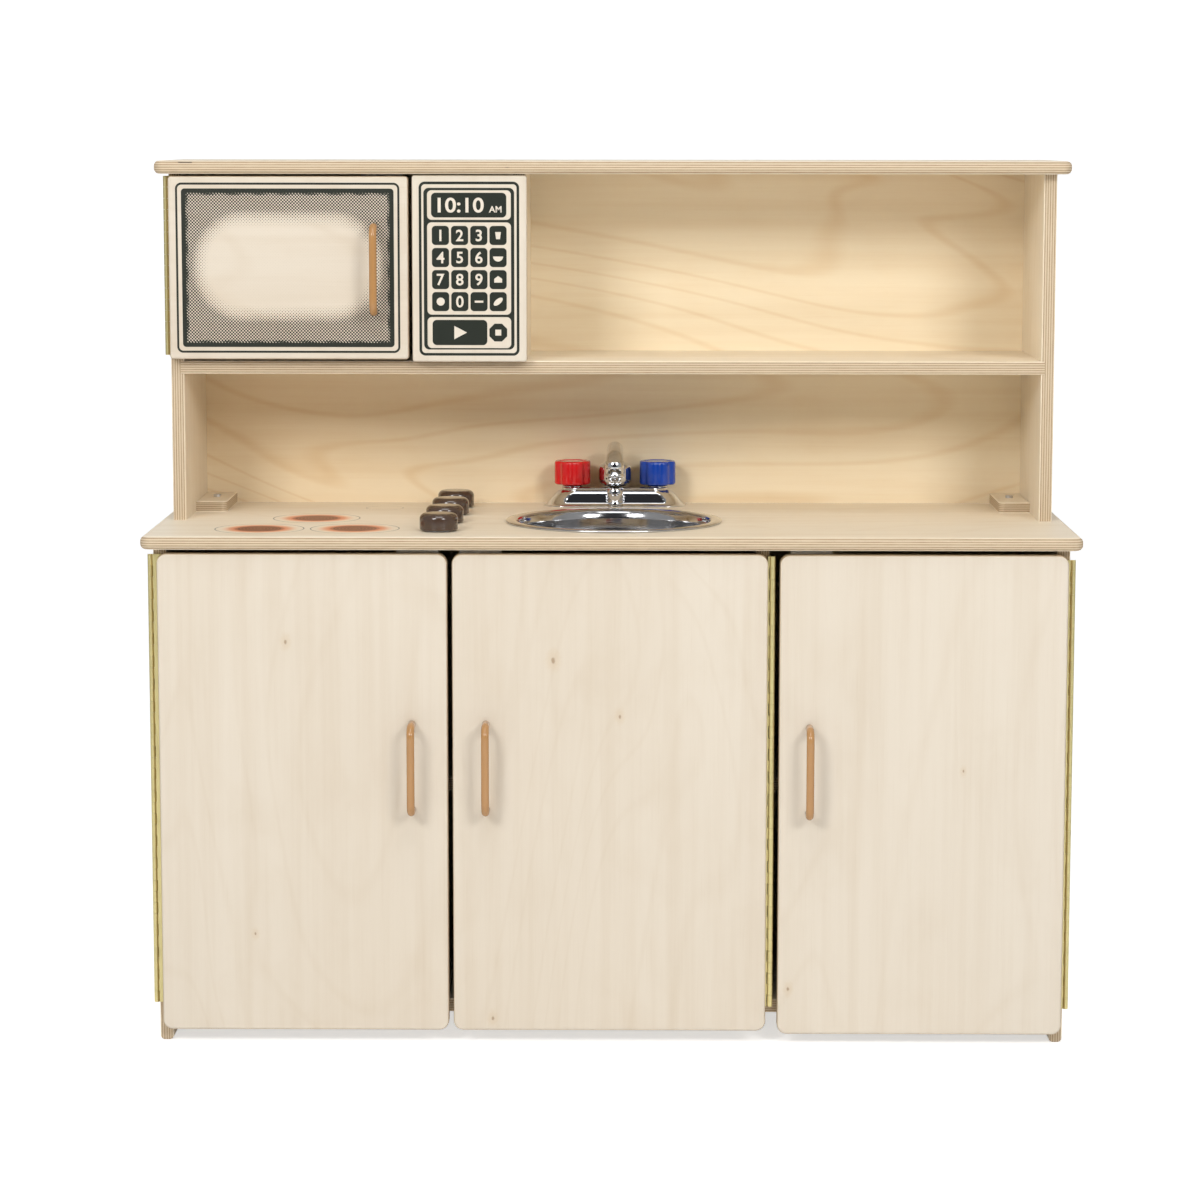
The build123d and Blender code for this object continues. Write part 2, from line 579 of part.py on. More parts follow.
# ---------------------------------------------------------------- sink
SINK_CROWN_X = SINK_X + (SINK_MOUTH_R + SINK_RIM_R) / 2 - 1
BOWL_CENTRE = (SINK_X + SINK_FLOOR_R, WORKTOP_TOP - SINK_LIP)
BOWL_HALF = (SINK_MOUTH_R - SINK_LIP_LEAN - SINK_FLOOR_R, SINK_DEPTH - SINK_LIP)

with BuildPart() as sink_bowl:
    with BuildSketch(Plane.XZ.offset(-SINK_Y)):
        with BuildLine():
            inside = EllipticalCenterArc(BOWL_CENTRE, *BOWL_HALF, start_angle=270, arc_size=90)
            floor = Line((SINK_X, WORKTOP_TOP - SINK_DEPTH), inside @ 0)
            lip = Line(inside @ 1, (SINK_X + SINK_MOUTH_R, WORKTOP_TOP + 1.4))
            rim = ThreePointArc(lip @ 1, (SINK_CROWN_X, WORKTOP_TOP + SINK_RIM_HEIGHT),
                                (SINK_X + SINK_RIM_R, WORKTOP_TOP + 0.9))
            edge = Line(rim @ 1, (SINK_X + SINK_RIM_R, WORKTOP_TOP))
            under = Line(edge @ 1, (SINK_X + SINK_RIM_R - SINK_WALL, WORKTOP_TOP))
            under_rim = ThreePointArc(under @ 1, (SINK_CROWN_X, WORKTOP_TOP + SINK_RIM_HEIGHT - SINK_WALL),
                                      (SINK_X + SINK_MOUTH_R + SINK_WALL, WORKTOP_TOP))
            outside = EllipticalCenterArc(BOWL_CENTRE, BOWL_HALF[0] + SINK_WALL, BOWL_HALF[1] + SINK_WALL,
                                          start_angle=270, arc_size=90)
            Line(under_rim @ 1, outside @ 1)
            outer_floor = Line((SINK_X, WORKTOP_TOP - SINK_DEPTH - SINK_WALL), outside @ 0)
            Line(outer_floor @ 0, floor @ 0)
        make_face()
    revolve(axis=Axis((SINK_X, SINK_Y, 0), (0, 0, 1)))
save(sink_bowl, "sink_bowl")

# ---------------------------------------------------------------- tap
DECK_TOP = WORKTOP_TOP + TAP_BASE_HEIGHT

with BuildPart() as tap_body:
    with BuildSketch(Plane((TAP_X, TAP_Y, WORKTOP_TOP))):
        SlotOverall(*TAP_BASE)
    extrude(amount=TAP_LIP)
    with BuildSketch(Plane((TAP_X, TAP_Y, WORKTOP_TOP + TAP_LIP))):
        SlotOverall(TAP_BASE[0] - 5, TAP_BASE[1] - 5)
    with BuildSketch(Plane((TAP_X, TAP_Y, WORKTOP_TOP + TAP_SHOULDER))):
        SlotOverall(TAP_BASE[0] - 18, TAP_BASE[1] - 10)
    with BuildSketch(Plane((TAP_X, TAP_Y, DECK_TOP - TAP_DECK_PLATE))):
        SlotOverall(TAP_DECK[0] - 3, TAP_DECK[1] - 3)
    loft()
    with BuildSketch(Plane((TAP_X, TAP_Y, DECK_TOP - TAP_DECK_PLATE))):
        SlotOverall(*TAP_DECK)
    extrude(amount=TAP_DECK_PLATE)
    with BuildSketch(Plane((TAP_X, TAP_Y - TAP_BASE[1] / 2 + TAP_BOSS_R + 2, WORKTOP_TOP))):
        Circle(TAP_BOSS_R)
    extrude(amount=TAP_BASE_HEIGHT)
    with Locations(*[(x, y, WORKTOP_TOP) for x, y in TAP_SHANKS]):
        Cylinder(TAP_SHANK_R, TAP_SHANK_LENGTH, align=(Align.CENTER, Align.CENTER, Align.MAX))
    with Locations(*[(x, y, DECK_TOP) for x, y in TAP_SHANKS]):
        Cylinder(TAP_COLLAR_R, TAP_KNOB_LIFT - 1, align=(Align.CENTER, Align.CENTER, Align.MIN))
        Cylinder(TAP_STEM_R, TAP_STEM_HEIGHT, align=(Align.CENTER, Align.CENTER, Align.MIN))
    with Locations((TAP_X, TAP_Y, DECK_TOP)):
        Cylinder(SPOUT_STEM_R, TAP_STEM_HEIGHT, align=(Align.CENTER, Align.CENTER, Align.MIN))
save(tap_body, "tap_body")

with BuildPart() as tap_lock_nuts:
    for x, y in TAP_SHANKS:
        with BuildSketch(Plane((x, y, WORKTOP_UNDER))):
            RegularPolygon(TAP_NUT[0], 6)
            Circle(TAP_SHANK_R + SCREW_FIT, mode=Mode.SUBTRACT)
        extrude(amount=-TAP_NUT[1])
save(tap_lock_nuts, "tap_lock_nuts")

TIP_Y = TAP_Y - SPOUT_REACH
HUB_BASE = DECK_TOP + HUB_LIFT

with BuildPart() as tap_spout:
    with BuildSketch(Plane((TAP_X, TAP_Y, HUB_BASE))):
        Circle(HUB_R)
    extrude(amount=HUB_HEIGHT)
    fillet(tap_spout.edges().filter_by(GeomType.CIRCLE), HUB_ROUND)
    with BuildLine() as spout_path:
        FilletPolyline((TAP_X, TAP_Y, HUB_BASE + HUB_HEIGHT / 2), (TAP_X, TAP_Y, SPOUT_CENTRE_TOP),
                       (TAP_X, TIP_Y, SPOUT_CENTRE_TOP - SPOUT_FALL),
                       (TAP_X, TIP_Y, WORKTOP_TOP + AERATOR_FOOT + 3), radius=SPOUT_BENDS)
    with BuildSketch(Plane(origin=spout_path.line @ 0, z_dir=spout_path.line % 0)):
        Circle(SPOUT_R)
    sweep(path=spout_path.line)
    with BuildSketch(Plane((TAP_X, TIP_Y, WORKTOP_TOP + AERATOR_FOOT))):
        Circle(AERATOR_R)
    extrude(amount=AERATOR_HEIGHT)
    with Locations((TAP_X, TIP_Y, WORKTOP_TOP + AERATOR_FOOT)):
        Cylinder(*AERATOR_MOUTH, align=(Align.CENTER, Align.CENTER, Align.MIN), mode=Mode.SUBTRACT)
    with Locations((TAP_X, TAP_Y, HUB_BASE)):
        Cylinder(SPOUT_STEM_R + STEM_RUN, TAP_STEM_HEIGHT,
                 align=(Align.CENTER, Align.CENTER, Align.MIN), mode=Mode.SUBTRACT)
save(tap_spout, "tap_spout")


def tap_knob(label, x):
    """Round knob with shallow scallops, pushed over its valve stem."""
    base_z = DECK_TOP + TAP_KNOB_LIFT
    with BuildPart() as knob:
        with BuildSketch(Plane((x, TAP_Y, base_z))) as outline:
            Circle(TAP_KNOB_R)
            with PolarLocations(TAP_KNOB_R + SCALLOP_OUT, TAP_LOBES, start_angle=180 / TAP_LOBES):
                Circle(SCALLOP_R, mode=Mode.SUBTRACT)
            fillet(outline.vertices(), 2.0)
        extrude(amount=TAP_KNOB_HEIGHT)
        fillet(knob.faces().sort_by(Axis.Z)[-1].edges(), 1.8)
        fillet(knob.faces().sort_by(Axis.Z)[0].edges(), 1.0)
        with Locations((x, TAP_Y, base_z)):
            Cylinder(TAP_STEM_R + STEM_RUN, TAP_STEM_HEIGHT - TAP_KNOB_LIFT + 1.2,
                     align=(Align.CENTER, Align.CENTER, Align.MIN), mode=Mode.SUBTRACT)
    save(knob, label)


tap_knob("tap_knob_hot", TAP_SHANKS[0][0])
tap_knob("tap_knob_cold", TAP_SHANKS[1][0])


# ---------------------------------------------------------------- hob knobs
def hob_knob(label, place):
    """Round knob with a rounded top, turning on a pivot that stands out of the worktop."""
    x, y = place
    with BuildPart() as knob:
        with BuildSketch(Plane((x, y, WORKTOP_TOP + KNOB_LIFT))):
            Circle(KNOB_R)
        extrude(amount=KNOB_HEIGHT)
        fillet(knob.faces().sort_by(Axis.Z)[-1].edges(), KNOB_TOP_ROUND)
        fillet(knob.faces().sort_by(Axis.Z)[0].edges(), 1.0)
        with Locations((x, y, WORKTOP_TOP + KNOB_LIFT)):
            Cylinder(PIVOT_R + PIVOT_RUN, PIVOT_RISE + 2,
                     align=(Align.CENTER, Align.CENTER, Align.MIN), mode=Mode.SUBTRACT)
    save(knob, label)


for number, place in enumerate(KNOB_PLACES, start=1):
    hob_knob(f"hob_knob_{number}", place)

with BuildPart() as hob_pivots:
    for x, y in KNOB_PLACES:
        with BuildSketch(Plane((x, y, WORKTOP_UNDER))):
            Circle(PIVOT_R)
        extrude(amount=PLY + KNOB_LIFT + PIVOT_RISE)
        with BuildSketch(Plane((x, y, WORKTOP_TOP))):
            Circle(KNOB_COLLAR_R)
        extrude(amount=KNOB_LIFT - KNOB_GAP)
        with BuildSketch(Plane((x, y, WORKTOP_UNDER))):
            RegularPolygon(PIVOT_HEAD[0], 6)
        extrude(amount=-PIVOT_HEAD[1])
save(hob_pivots, "hob_pivots")
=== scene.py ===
"""Toy kitchen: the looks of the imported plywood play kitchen, laid out as an add-on and run as a script."""

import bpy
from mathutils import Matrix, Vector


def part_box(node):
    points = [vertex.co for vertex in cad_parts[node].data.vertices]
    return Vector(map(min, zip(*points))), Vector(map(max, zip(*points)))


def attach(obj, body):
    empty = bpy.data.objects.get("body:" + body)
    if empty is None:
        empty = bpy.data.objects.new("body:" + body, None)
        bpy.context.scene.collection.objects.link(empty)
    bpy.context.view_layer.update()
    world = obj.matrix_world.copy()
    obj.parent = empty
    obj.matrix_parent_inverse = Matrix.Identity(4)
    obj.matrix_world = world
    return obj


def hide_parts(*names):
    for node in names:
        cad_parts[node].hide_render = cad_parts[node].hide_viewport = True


bl_info = {"name": "Toy Kitchen", "version": (1, 0, 0), "blender": (4, 5, 0),
    "location": "View3D > Sidebar > Toy Kitchen",
    "description": "Builds the finished pieces and materials of a plywood play kitchen",
    "category": "Object",}

import bpy
import numpy as np
from bpy.props import FloatProperty, FloatVectorProperty, IntProperty, PointerProperty

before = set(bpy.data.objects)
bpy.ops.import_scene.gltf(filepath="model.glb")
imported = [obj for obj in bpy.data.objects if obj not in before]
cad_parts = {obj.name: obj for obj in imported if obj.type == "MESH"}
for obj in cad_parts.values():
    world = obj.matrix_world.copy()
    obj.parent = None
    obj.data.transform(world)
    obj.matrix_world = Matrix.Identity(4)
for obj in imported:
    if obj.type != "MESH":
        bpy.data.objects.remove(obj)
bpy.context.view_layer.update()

MM = 0.001
TURN = 2 * np.pi
DOORS = ("left", "middle", "right", "microwave")


# ---------------------------------------------------------------- places read from the frame
def corners(node):
    """Lowest and highest corner of a node, as numpy arrays."""
    low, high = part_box(node)
    return np.array(low), np.array(high)


def middle(node):
    """Middle of a node's box."""
    low, high = corners(node)
    return (low + high) / 2


WORKTOP_TOP = corners("worktop")[1][2]
SINK = middle("sink_bowl")
TAP = middle("tap_body")


# ---------------------------------------------------------------- settings
class KitchenSizes(bpy.types.PropertyGroup):
    """Sizes of the pieces that are made here."""
    segments: IntProperty(name="Segments", description="Steps round a turned piece", default=96, min=24)
    handle_wire: FloatProperty(name="Handle wire", description="Diameter of the handle wire",
        default=8.8 * MM, unit="LENGTH")
    handle_bend: FloatProperty(name="Handle bend", description="Bend radius of the handle wire",
        default=11 * MM, unit="LENGTH")
    sink_depth: FloatProperty(name="Sink depth", description="Depth of the bowl", default=92 * MM,
        unit="LENGTH")
    sink_mouth: FloatProperty(name="Sink mouth", description="Radius of the bowl's mouth", default=109 * MM,
        unit="LENGTH")
    spout_tube: FloatProperty(name="Spout tube", description="Radius of the spout's tube", default=9.8 * MM,
        unit="LENGTH")
    spout_reach: FloatProperty(name="Spout reach", description="Swivel axis to the aerator",
        default=100 * MM, unit="LENGTH")
    knob_lobes: IntProperty(name="Knob lobes", description="Scallops round a tap knob", default=8)
    burner_radius: FloatProperty(name="Burner", description="Outline radius of a printed burner",
        default=50.5 * MM, unit="LENGTH")


def colour_property(name, default):
    """A colour setting with its name and default."""
    return FloatVectorProperty(name=name, description=f"Base colour of the {name.lower()}", subtype="COLOR",
        size=3, min=0, max=1, default=default)


class KitchenColours(bpy.types.PropertyGroup):
    """Colours of the finishes, linear."""
    door_light: colour_property("Door birch", (0.67, 0.60, 0.50))
    door_dark: colour_property("Door grain", (0.54, 0.44, 0.32))
    panel_light: colour_property("Panel birch", (0.86, 0.77, 0.62))
    panel_dark: colour_property("Panel grain", (0.70, 0.56, 0.38))
    back_light: colour_property("Back panel birch", (0.92, 0.80, 0.585))
    back_dark: colour_property("Back panel grain", (0.76, 0.56, 0.325))
    edge_light: colour_property("Edge veneer", (0.62, 0.51, 0.36))
    edge_dark: colour_property("Edge end grain", (0.34, 0.225, 0.125))
    ink: colour_property("Printed ink", (0.010, 0.015, 0.010))
    brass: colour_property("Brass", (0.76, 0.66, 0.32))
    handle: colour_property("Handle", (0.40, 0.205, 0.072))
    knob_red: colour_property("Red knob", (0.68, 0.010, 0.012))
    knob_blue: colour_property("Blue knob", (0.005, 0.055, 0.42))
    knob_brown: colour_property("Brown knob", (0.060, 0.034, 0.022))


# ---------------------------------------------------------------- mesh making
def make_object(name, vertices, faces, body, material, replaced=None, smooth=True):
    """Link a mesh piece, let it ride on its body and give it its finish."""
    mesh = bpy.data.meshes.new(name)
    mesh.from_pydata(vertices.tolist(), [], faces)
    mesh.validate()
    mesh.polygons.foreach_set("use_smooth", np.full(len(mesh.polygons), smooth))
    piece = bpy.data.objects.new(name, mesh)
    bpy.context.scene.collection.objects.link(piece)
    piece.data.materials.append(material)
    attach(piece, body)
    if replaced:
        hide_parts(replaced)
    return piece


def ring_faces(rings, around):
    """Quads between neighbouring rings of a closed grid: each joins a vertex, the next one round, and
    the same two on the next ring."""
    ring = np.arange(rings - 1)[:, None] * around
    step = np.arange(around)[None, :]
    after = (step + 1) % around
    quads = np.stack([ring + step, ring + after, ring + after + around, ring + step + around], axis=-1)
    return quads.reshape(-1, 4).tolist()


def closed_surface(rings, start, end):
    """Rings of points closed by one pole vertex at each end; the faces look outwards when the rings run
    from the start pole to the end pole anticlockwise about that direction."""
    count, around, _ = rings.shape
    vertices = np.concatenate([rings.reshape(-1, 3), [start], [end]])
    faces = ring_faces(count, around)
    index = np.arange(around)
    after = (index + 1) % around
    last = (count - 1) * around
    bottom = np.stack([after, index, np.full(around, count * around)], axis=-1)
    top = np.stack([last + index, last + after, np.full(around, count * around + 1)], axis=-1)
    return vertices, faces + bottom.tolist() + top.tolist()


def turned(centre, profile, around, scale=None):
    """Surface of revolution: radius and height follow the profile, and each ring is a circle of that radius
    about the vertical axis, times a scale that may change round the ring."""
    profile = np.asarray(profile)
    angle = np.arange(around) * TURN / around
    factor = np.ones_like(angle) if scale is None else scale(angle)
    radius = profile[1:-1, 0][:, None] * factor[None, :]
    rings = np.stack([centre[0] + radius * np.cos(angle), centre[1] + radius * np.sin(angle),
        centre[2] + np.broadcast_to(profile[1:-1, 1][:, None], radius.shape)], axis=-1)
    start = (centre[0], centre[1], centre[2] + profile[0, 1])
    end = (centre[0], centre[1], centre[2] + profile[-1, 1])
    return closed_surface(rings, start, end)


def arc(centre, radius, start, end, steps):
    """Points on a circle from one angle to another, in degrees."""
    angle = np.radians(np.linspace(start, end, steps))
    return np.stack([centre[0] + radius * np.cos(angle), centre[1] + radius * np.sin(angle)], axis=-1)


def join(*runs):
    """One profile from several runs of points."""
    return np.concatenate([np.atleast_2d(np.asarray(run, dtype=float)) for run in runs])


def tube(path, radius, around, side=(1.0, 0.0, 0.0)):
    """Tube along a flat path: each ring is a circle in the plane of the fixed side direction and the normal
    that is the tangent crossed with it."""
    path = np.asarray(path)
    radius = np.broadcast_to(np.asarray(radius, dtype=float), (len(path),))
    tangent = np.gradient(path, axis=0)
    tangent /= np.linalg.norm(tangent, axis=1)[:, None]
    side = np.asarray(side)
    normal = np.cross(tangent, side)
    angle = np.arange(around) * TURN / around
    rings = (path[:, None, :] + radius[:, None, None] * (np.cos(angle)[None, :, None] * side
        + np.sin(angle)[None, :, None] * normal[:, None, :]))
    rings = rings[:, ::-1, :] if np.dot(np.cross(side, normal[0]), tangent[0]) < 0 else rings
    return closed_surface(rings, path[0], path[-1])


def merged(*surfaces):
    """Several closed surfaces as one list of vertices and faces."""
    vertices, faces, offset = [], [], 0
    for points, polygons in surfaces:
        vertices.append(points)
        faces += [[index + offset for index in polygon] for polygon in polygons]
        offset += len(points)
    return np.concatenate(vertices), faces


# ---------------------------------------------------------------- shader tools
class Nodes:
    """Short calls for building a node tree."""

    def __init__(self, tree):
        self.tree = tree

    def new(self, kind, **values):
        """A node with some of its properties set."""
        node = self.tree.nodes.new(kind)
        for key, value in values.items():
            setattr(node, key, value)
        return node

    def feed(self, socket, value):
        """Link an output to a socket, or set the socket to a plain value."""
        if isinstance(value, bpy.types.NodeSocket):
            self.tree.links.new(value, socket)
        else:
            socket.default_value = value

    def math(self, operation, *values, clamp=False):
        """A math node's result."""
        node = self.new("ShaderNodeMath", operation=operation, use_clamp=clamp)
        for socket, value in zip(node.inputs, values):
            self.feed(socket, value)
        return node.outputs[0]

    def add(self, first, second):
        """Sum."""
        return self.math("ADD", first, second)

    def times(self, first, second):
        """Product."""
        return self.math("MULTIPLY", first, second)

    def less(self, first, second):
        """Difference."""
        return self.math("SUBTRACT", first, second)

    def size(self, value):
        """Absolute value."""
        return self.math("ABSOLUTE", value)

    def length(self, first, second):
        """Length of a flat vector."""
        return self.math("SQRT", self.add(self.math("POWER", first, 2.0), self.math("POWER", second, 2.0)))

    def step(self, value, low, high):
        """0 below low, 1 above high, smooth between."""
        node = self.new("ShaderNodeMapRange", interpolation_type="SMOOTHSTEP")
        for key, number in (("Value", value), ("From Min", low), ("From Max", high)):
            self.feed(node.inputs[key], number)
        return node.outputs[0]

    def mix(self, factor, first, second, blend="MIX"):
        """Mix of two colours."""
        node = self.new("ShaderNodeMix", data_type="RGBA", blend_type=blend)
        self.feed(node.inputs["Factor"], factor)
        self.feed(node.inputs["A"], first)
        self.feed(node.inputs["B"], second)
        return node.outputs["Result"]

    def combine(self, x, y, z):
        """A vector from three numbers."""
        node = self.new("ShaderNodeCombineXYZ")
        for socket, value in zip(node.inputs, (x, y, z)):
            self.feed(socket, value)
        return node.outputs[0]

    def split(self, vector):
        """The three numbers of a vector."""
        node = self.new("ShaderNodeSeparateXYZ")
        self.feed(node.inputs[0], vector)
        return node.outputs[0], node.outputs[1], node.outputs[2]

    def noise(self, vector, scale, detail=3.0, roughness=0.55, distortion=0.0):
        """Noise from 0 to 1 at a vector."""
        node = self.new("ShaderNodeTexNoise")
        for key, value in (("Vector", vector), ("Scale", scale), ("Detail", detail),
                ("Roughness", roughness), ("Distortion", distortion)):
            self.feed(node.inputs[key], value)
        return node.outputs[0]

    def group(self, group, **values):
        """A placed node group with its inputs set by name, underscores standing for spaces."""
        node = self.new("ShaderNodeGroup", node_tree=group)
        for key, value in values.items():
            self.feed(node.inputs[key.replace("_", " ")], value)
        return node


def new_group(name, inputs, outputs):
    """A shader node group with named sockets; gives its tools, its input sockets and its output node."""
    group = bpy.data.node_groups.new(name, "ShaderNodeTree")
    for kind, sockets in (("INPUT", inputs), ("OUTPUT", outputs)):
        for label, socket_type in sockets:
            group.interface.new_socket(name=label, in_out=kind, socket_type=f"NodeSocket{socket_type}")
    tools = Nodes(group)
    entry = tools.new("NodeGroupInput")
    leave = tools.new("NodeGroupOutput")
    return group, tools, entry.outputs, leave.inputs


def rgba(colour):
    """A colour setting with full alpha."""
    return (*colour, 1.0)


def new_material(name, **values):
    """A material with one Principled shader, whose plain values are set on its own sockets."""
    material = bpy.data.materials.new(name)
    material.use_nodes = True
    tools = Nodes(material.node_tree)
    shader = material.node_tree.nodes["Principled BSDF"]
    for key, value in values.items():
        shader.inputs[key.replace("_", " ")].default_value = value
    position = tools.new("ShaderNodeTexCoord").outputs["Object"]
    return material, tools, shader, position


def bump(tools, shader, height, distance, strength=1.0):
    """Bump from a height that feeds the shader's normal."""
    node = tools.new("ShaderNodeBump")
    node.inputs["Distance"].default_value = distance
    node.inputs["Strength"].default_value = strength
    tools.feed(node.inputs["Height"], height)
    tools.feed(shader.inputs["Normal"], node.outputs["Normal"])


# ---------------------------------------------------------------- node groups
def plywood_group():
    """Birch plywood. Face: bands across the grain, fine fibres along it, and growth lines, which are
    level lines of a stretched noise. Edge: layers of light and dark by depth through the panel, and core
    voids dented by a bump and given painted shade, near-black."""
    group, n, given, out = new_group("Birch Plywood", [("Across", "Float"), ("Along", "Float"),
        ("Depth", "Float"), ("Seed", "Float"), ("Thickness", "Float"), ("Layers", "Float"),
        ("Figure", "Float"), ("Light", "Color"), ("Dark", "Color"), ("Edge Light", "Color"),
        ("Edge Dark", "Color")], [("Color", "Color"), ("Roughness", "Float"), ("Height", "Float")])
    across, along, depth = given["Across"], given["Along"], given["Depth"]
    broad = n.noise(n.combine(n.times(across, 3.2), n.times(along, 0.9), given["Seed"]), 1.0, 2.0, 0.5, 0.6)
    rings = n.times(n.noise(n.combine(n.times(across, 2.6), n.times(along, 0.8), n.add(given["Seed"], 7.0)),
        1.0, 1.5, 0.5, 0.9), 17.0)
    line = n.size(n.less(n.math("FRACT", rings), 0.5))
    line = n.step(line, 0.36, 0.5)
    streak = n.noise(n.combine(n.times(across, 60.0), n.times(along, 1.6), given["Seed"]), 1.0, 3.0, 0.6,
        0.2)
    fibre = n.noise(n.combine(n.times(across, 900.0), n.times(along, 14.0), given["Seed"]), 1.0, 2.0, 0.6)
    cloud = n.noise(n.combine(n.times(across, 14.0), n.times(along, 9.0), n.add(given["Seed"], 3.0)), 1.0,
        3.0, 0.6, 0.4)
    amount = n.times(n.step(broad, 0.32, 0.72), n.add(0.16, n.times(given["Figure"], 0.30)))
    amount = n.add(amount, n.times(n.times(line, given["Figure"]), 0.42))
    amount = n.add(amount, n.times(n.step(streak, 0.35, 0.75), 0.22))
    amount = n.add(amount, n.times(n.step(fibre, 0.52, 0.85), 0.16))
    amount = n.math("ADD", amount, n.times(n.step(cloud, 0.45, 0.8), 0.14), clamp=True)
    face = n.mix(amount, given["Light"], given["Dark"])
    layer = n.times(n.math("DIVIDE", depth, given["Thickness"]), given["Layers"])
    odd = n.times(n.math("FRACT", n.times(layer, 0.5)), 2.0)
    dark_layer = n.times(n.step(odd, 0.94, 1.06), n.less(1.0, n.step(odd, 1.9, 2.0)))
    wander = n.noise(n.combine(n.times(across, 40.0), n.times(along, 40.0), n.math("FLOOR", layer)), 1.0,
        2.0)
    tone = n.math("MULTIPLY", dark_layer, n.add(0.45, n.times(wander, 0.6)), clamp=True)
    pores = n.noise(n.combine(n.times(across, 700.0), n.times(along, 700.0), n.times(depth, 700.0)), 1.0,
        2.0)
    tone = n.math("ADD", tone, n.times(n.step(pores, 0.5, 0.8), 0.2), clamp=True)
    glue = n.size(n.less(n.math("FRACT", layer), 0.5))
    glue = n.step(glue, 0.44, 0.5)
    edge = n.mix(tone, given["Edge Light"], given["Edge Dark"])
    edge = n.mix(n.times(glue, 0.35), edge, given["Edge Dark"])
    # core voids: a bump dent plus painted shade, near-black, standing for the shadow inside each gap
    void_shade = n.noise(n.combine(n.times(across, 22.0), n.times(along, 22.0),
        n.add(n.math("FLOOR", layer), 40.0)), 1.0, 0.0)
    void_shade = n.times(n.step(void_shade, 0.83, 0.85), dark_layer)
    edge = n.mix(n.times(void_shade, 0.85), edge, (0.05, 0.03, 0.02, 1.0))
    inside = n.times(n.step(layer, 0.72, 0.8), n.less(1.0, n.step(n.less(layer, given["Layers"]), -0.8,
        -0.72)))
    n.feed(out["Color"], n.mix(inside, face, edge))
    n.feed(out["Roughness"], n.add(n.times(inside, 0.18), n.add(0.36, n.times(fibre, 0.12))))
    n.feed(out["Height"], n.less(n.times(fibre, 0.35), n.add(n.times(void_shade, 1.5),
        n.times(n.times(tone, inside), 0.4))))
    return group


def rounded_box_group():
    """Inside mask of a rounded rectangle: the distance to it is the length of how far the point stands beyond
    the rectangle shrunk by the corner radius, less that radius; the mask is 1 where that is negative."""
    group, n, given, out = new_group("Rounded Box Mask", [("X", "Float"), ("Z", "Float"),
        ("Centre X", "Float"), ("Centre Z", "Float"), ("Half Width", "Float"), ("Half Height", "Float"),
        ("Corner", "Float")], [("Mask", "Float"), ("Distance", "Float")])
    beyond = []
    for axis, centre, half in (("X", "Centre X", "Half Width"), ("Z", "Centre Z", "Half Height")):
        offset = n.size(n.less(given[axis], given[centre]))
        beyond.append(n.add(n.less(offset, given[half]), given["Corner"]))
    positive = [n.math("MAXIMUM", value, 0.0) for value in beyond]
    length = n.length(*positive)
    inner = n.math("MINIMUM", n.math("MAXIMUM", beyond[0], beyond[1]), 0.0)
    distance = n.less(n.add(length, inner), given["Corner"])
    n.feed(out["Distance"], distance)
    n.feed(out["Mask"], n.less(1.0, n.step(distance, -0.00015, 0.00015)))
    return group


def knot_group():
    """A small knot in a veneer: a dark core with a halo, both by distance from its centre, and drawn out
    along the grain."""
    group, n, given, out = new_group("Veneer Knot", [("Across", "Float"), ("Along", "Float"),
        ("Knot Across", "Float"), ("Knot Along", "Float"), ("Size", "Float"), ("Color", "Color")],
        [("Color", "Color")])
    dx = n.less(given["Across"], given["Knot Across"])
    dz = n.times(n.less(given["Along"], given["Knot Along"]), 0.62)
    wobble = n.noise(n.combine(given["Across"], given["Along"], 0.0), 260.0, 2.0)
    distance = n.length(dx, dz)
    distance = n.times(n.math("DIVIDE", distance, given["Size"]), n.add(0.6, wobble))
    core = n.less(1.0, n.step(distance, 0.25, 0.8))
    halo = n.less(1.0, n.step(distance, 0.7, 3.0))
    colour = n.mix(n.times(halo, 0.22), given["Color"], (0.52, 0.36, 0.18, 1.0))
    n.feed(out["Color"], n.mix(n.times(core, 0.62), colour, (0.22, 0.12, 0.05, 1.0)))
    return group


def burner_group():
    """One printed burner: a thin outline circle, a glowing halo and a dark coil of concentric rings, all by
    the distance from the centre over the outline's radius."""
    group, n, given, out = new_group("Printed Burner", [("X", "Float"), ("Y", "Float"),
        ("Centre X", "Float"), ("Centre Y", "Float"), ("Radius", "Float"), ("Glow", "Float"),
        ("Color", "Color"), ("Ink", "Color")], [("Color", "Color")])
    dx = n.less(given["X"], given["Centre X"])
    dy = n.less(given["Y"], given["Centre Y"])
    share = n.math("DIVIDE", n.length(dx, dy), given["Radius"])
    halo = n.times(n.less(1.0, n.step(share, 0.62, 0.90)), given["Glow"])
    hot = n.mix(n.step(share, 0.50, 0.85), (0.70, 0.16, 0.05, 1.0), (0.88, 0.46, 0.24, 1.0))
    colour = n.mix(n.times(halo, 0.85), given["Color"], hot)
    ring = n.size(n.less(n.math("FRACT", n.times(share, 13.0)), 0.5))
    coil = n.times(n.add(0.55, n.times(n.step(ring, 0.12, 0.3), 0.45)),
        n.less(1.0, n.step(share, 0.46, 0.60)))
    speckle = n.noise(n.combine(given["X"], given["Y"], 0.0), 900.0, 1.0)
    coil = n.times(coil, n.add(0.75, n.times(n.step(speckle, 0.3, 0.6), 0.25)))
    colour = n.mix(n.times(n.times(coil, given["Glow"]), 0.90), colour, given["Ink"])
    outline = n.less(1.0, n.step(n.size(n.less(share, 0.985)), 0.008, 0.016))
    n.feed(out["Color"], n.mix(n.times(outline, 0.75), colour, given["Ink"]))
    return group


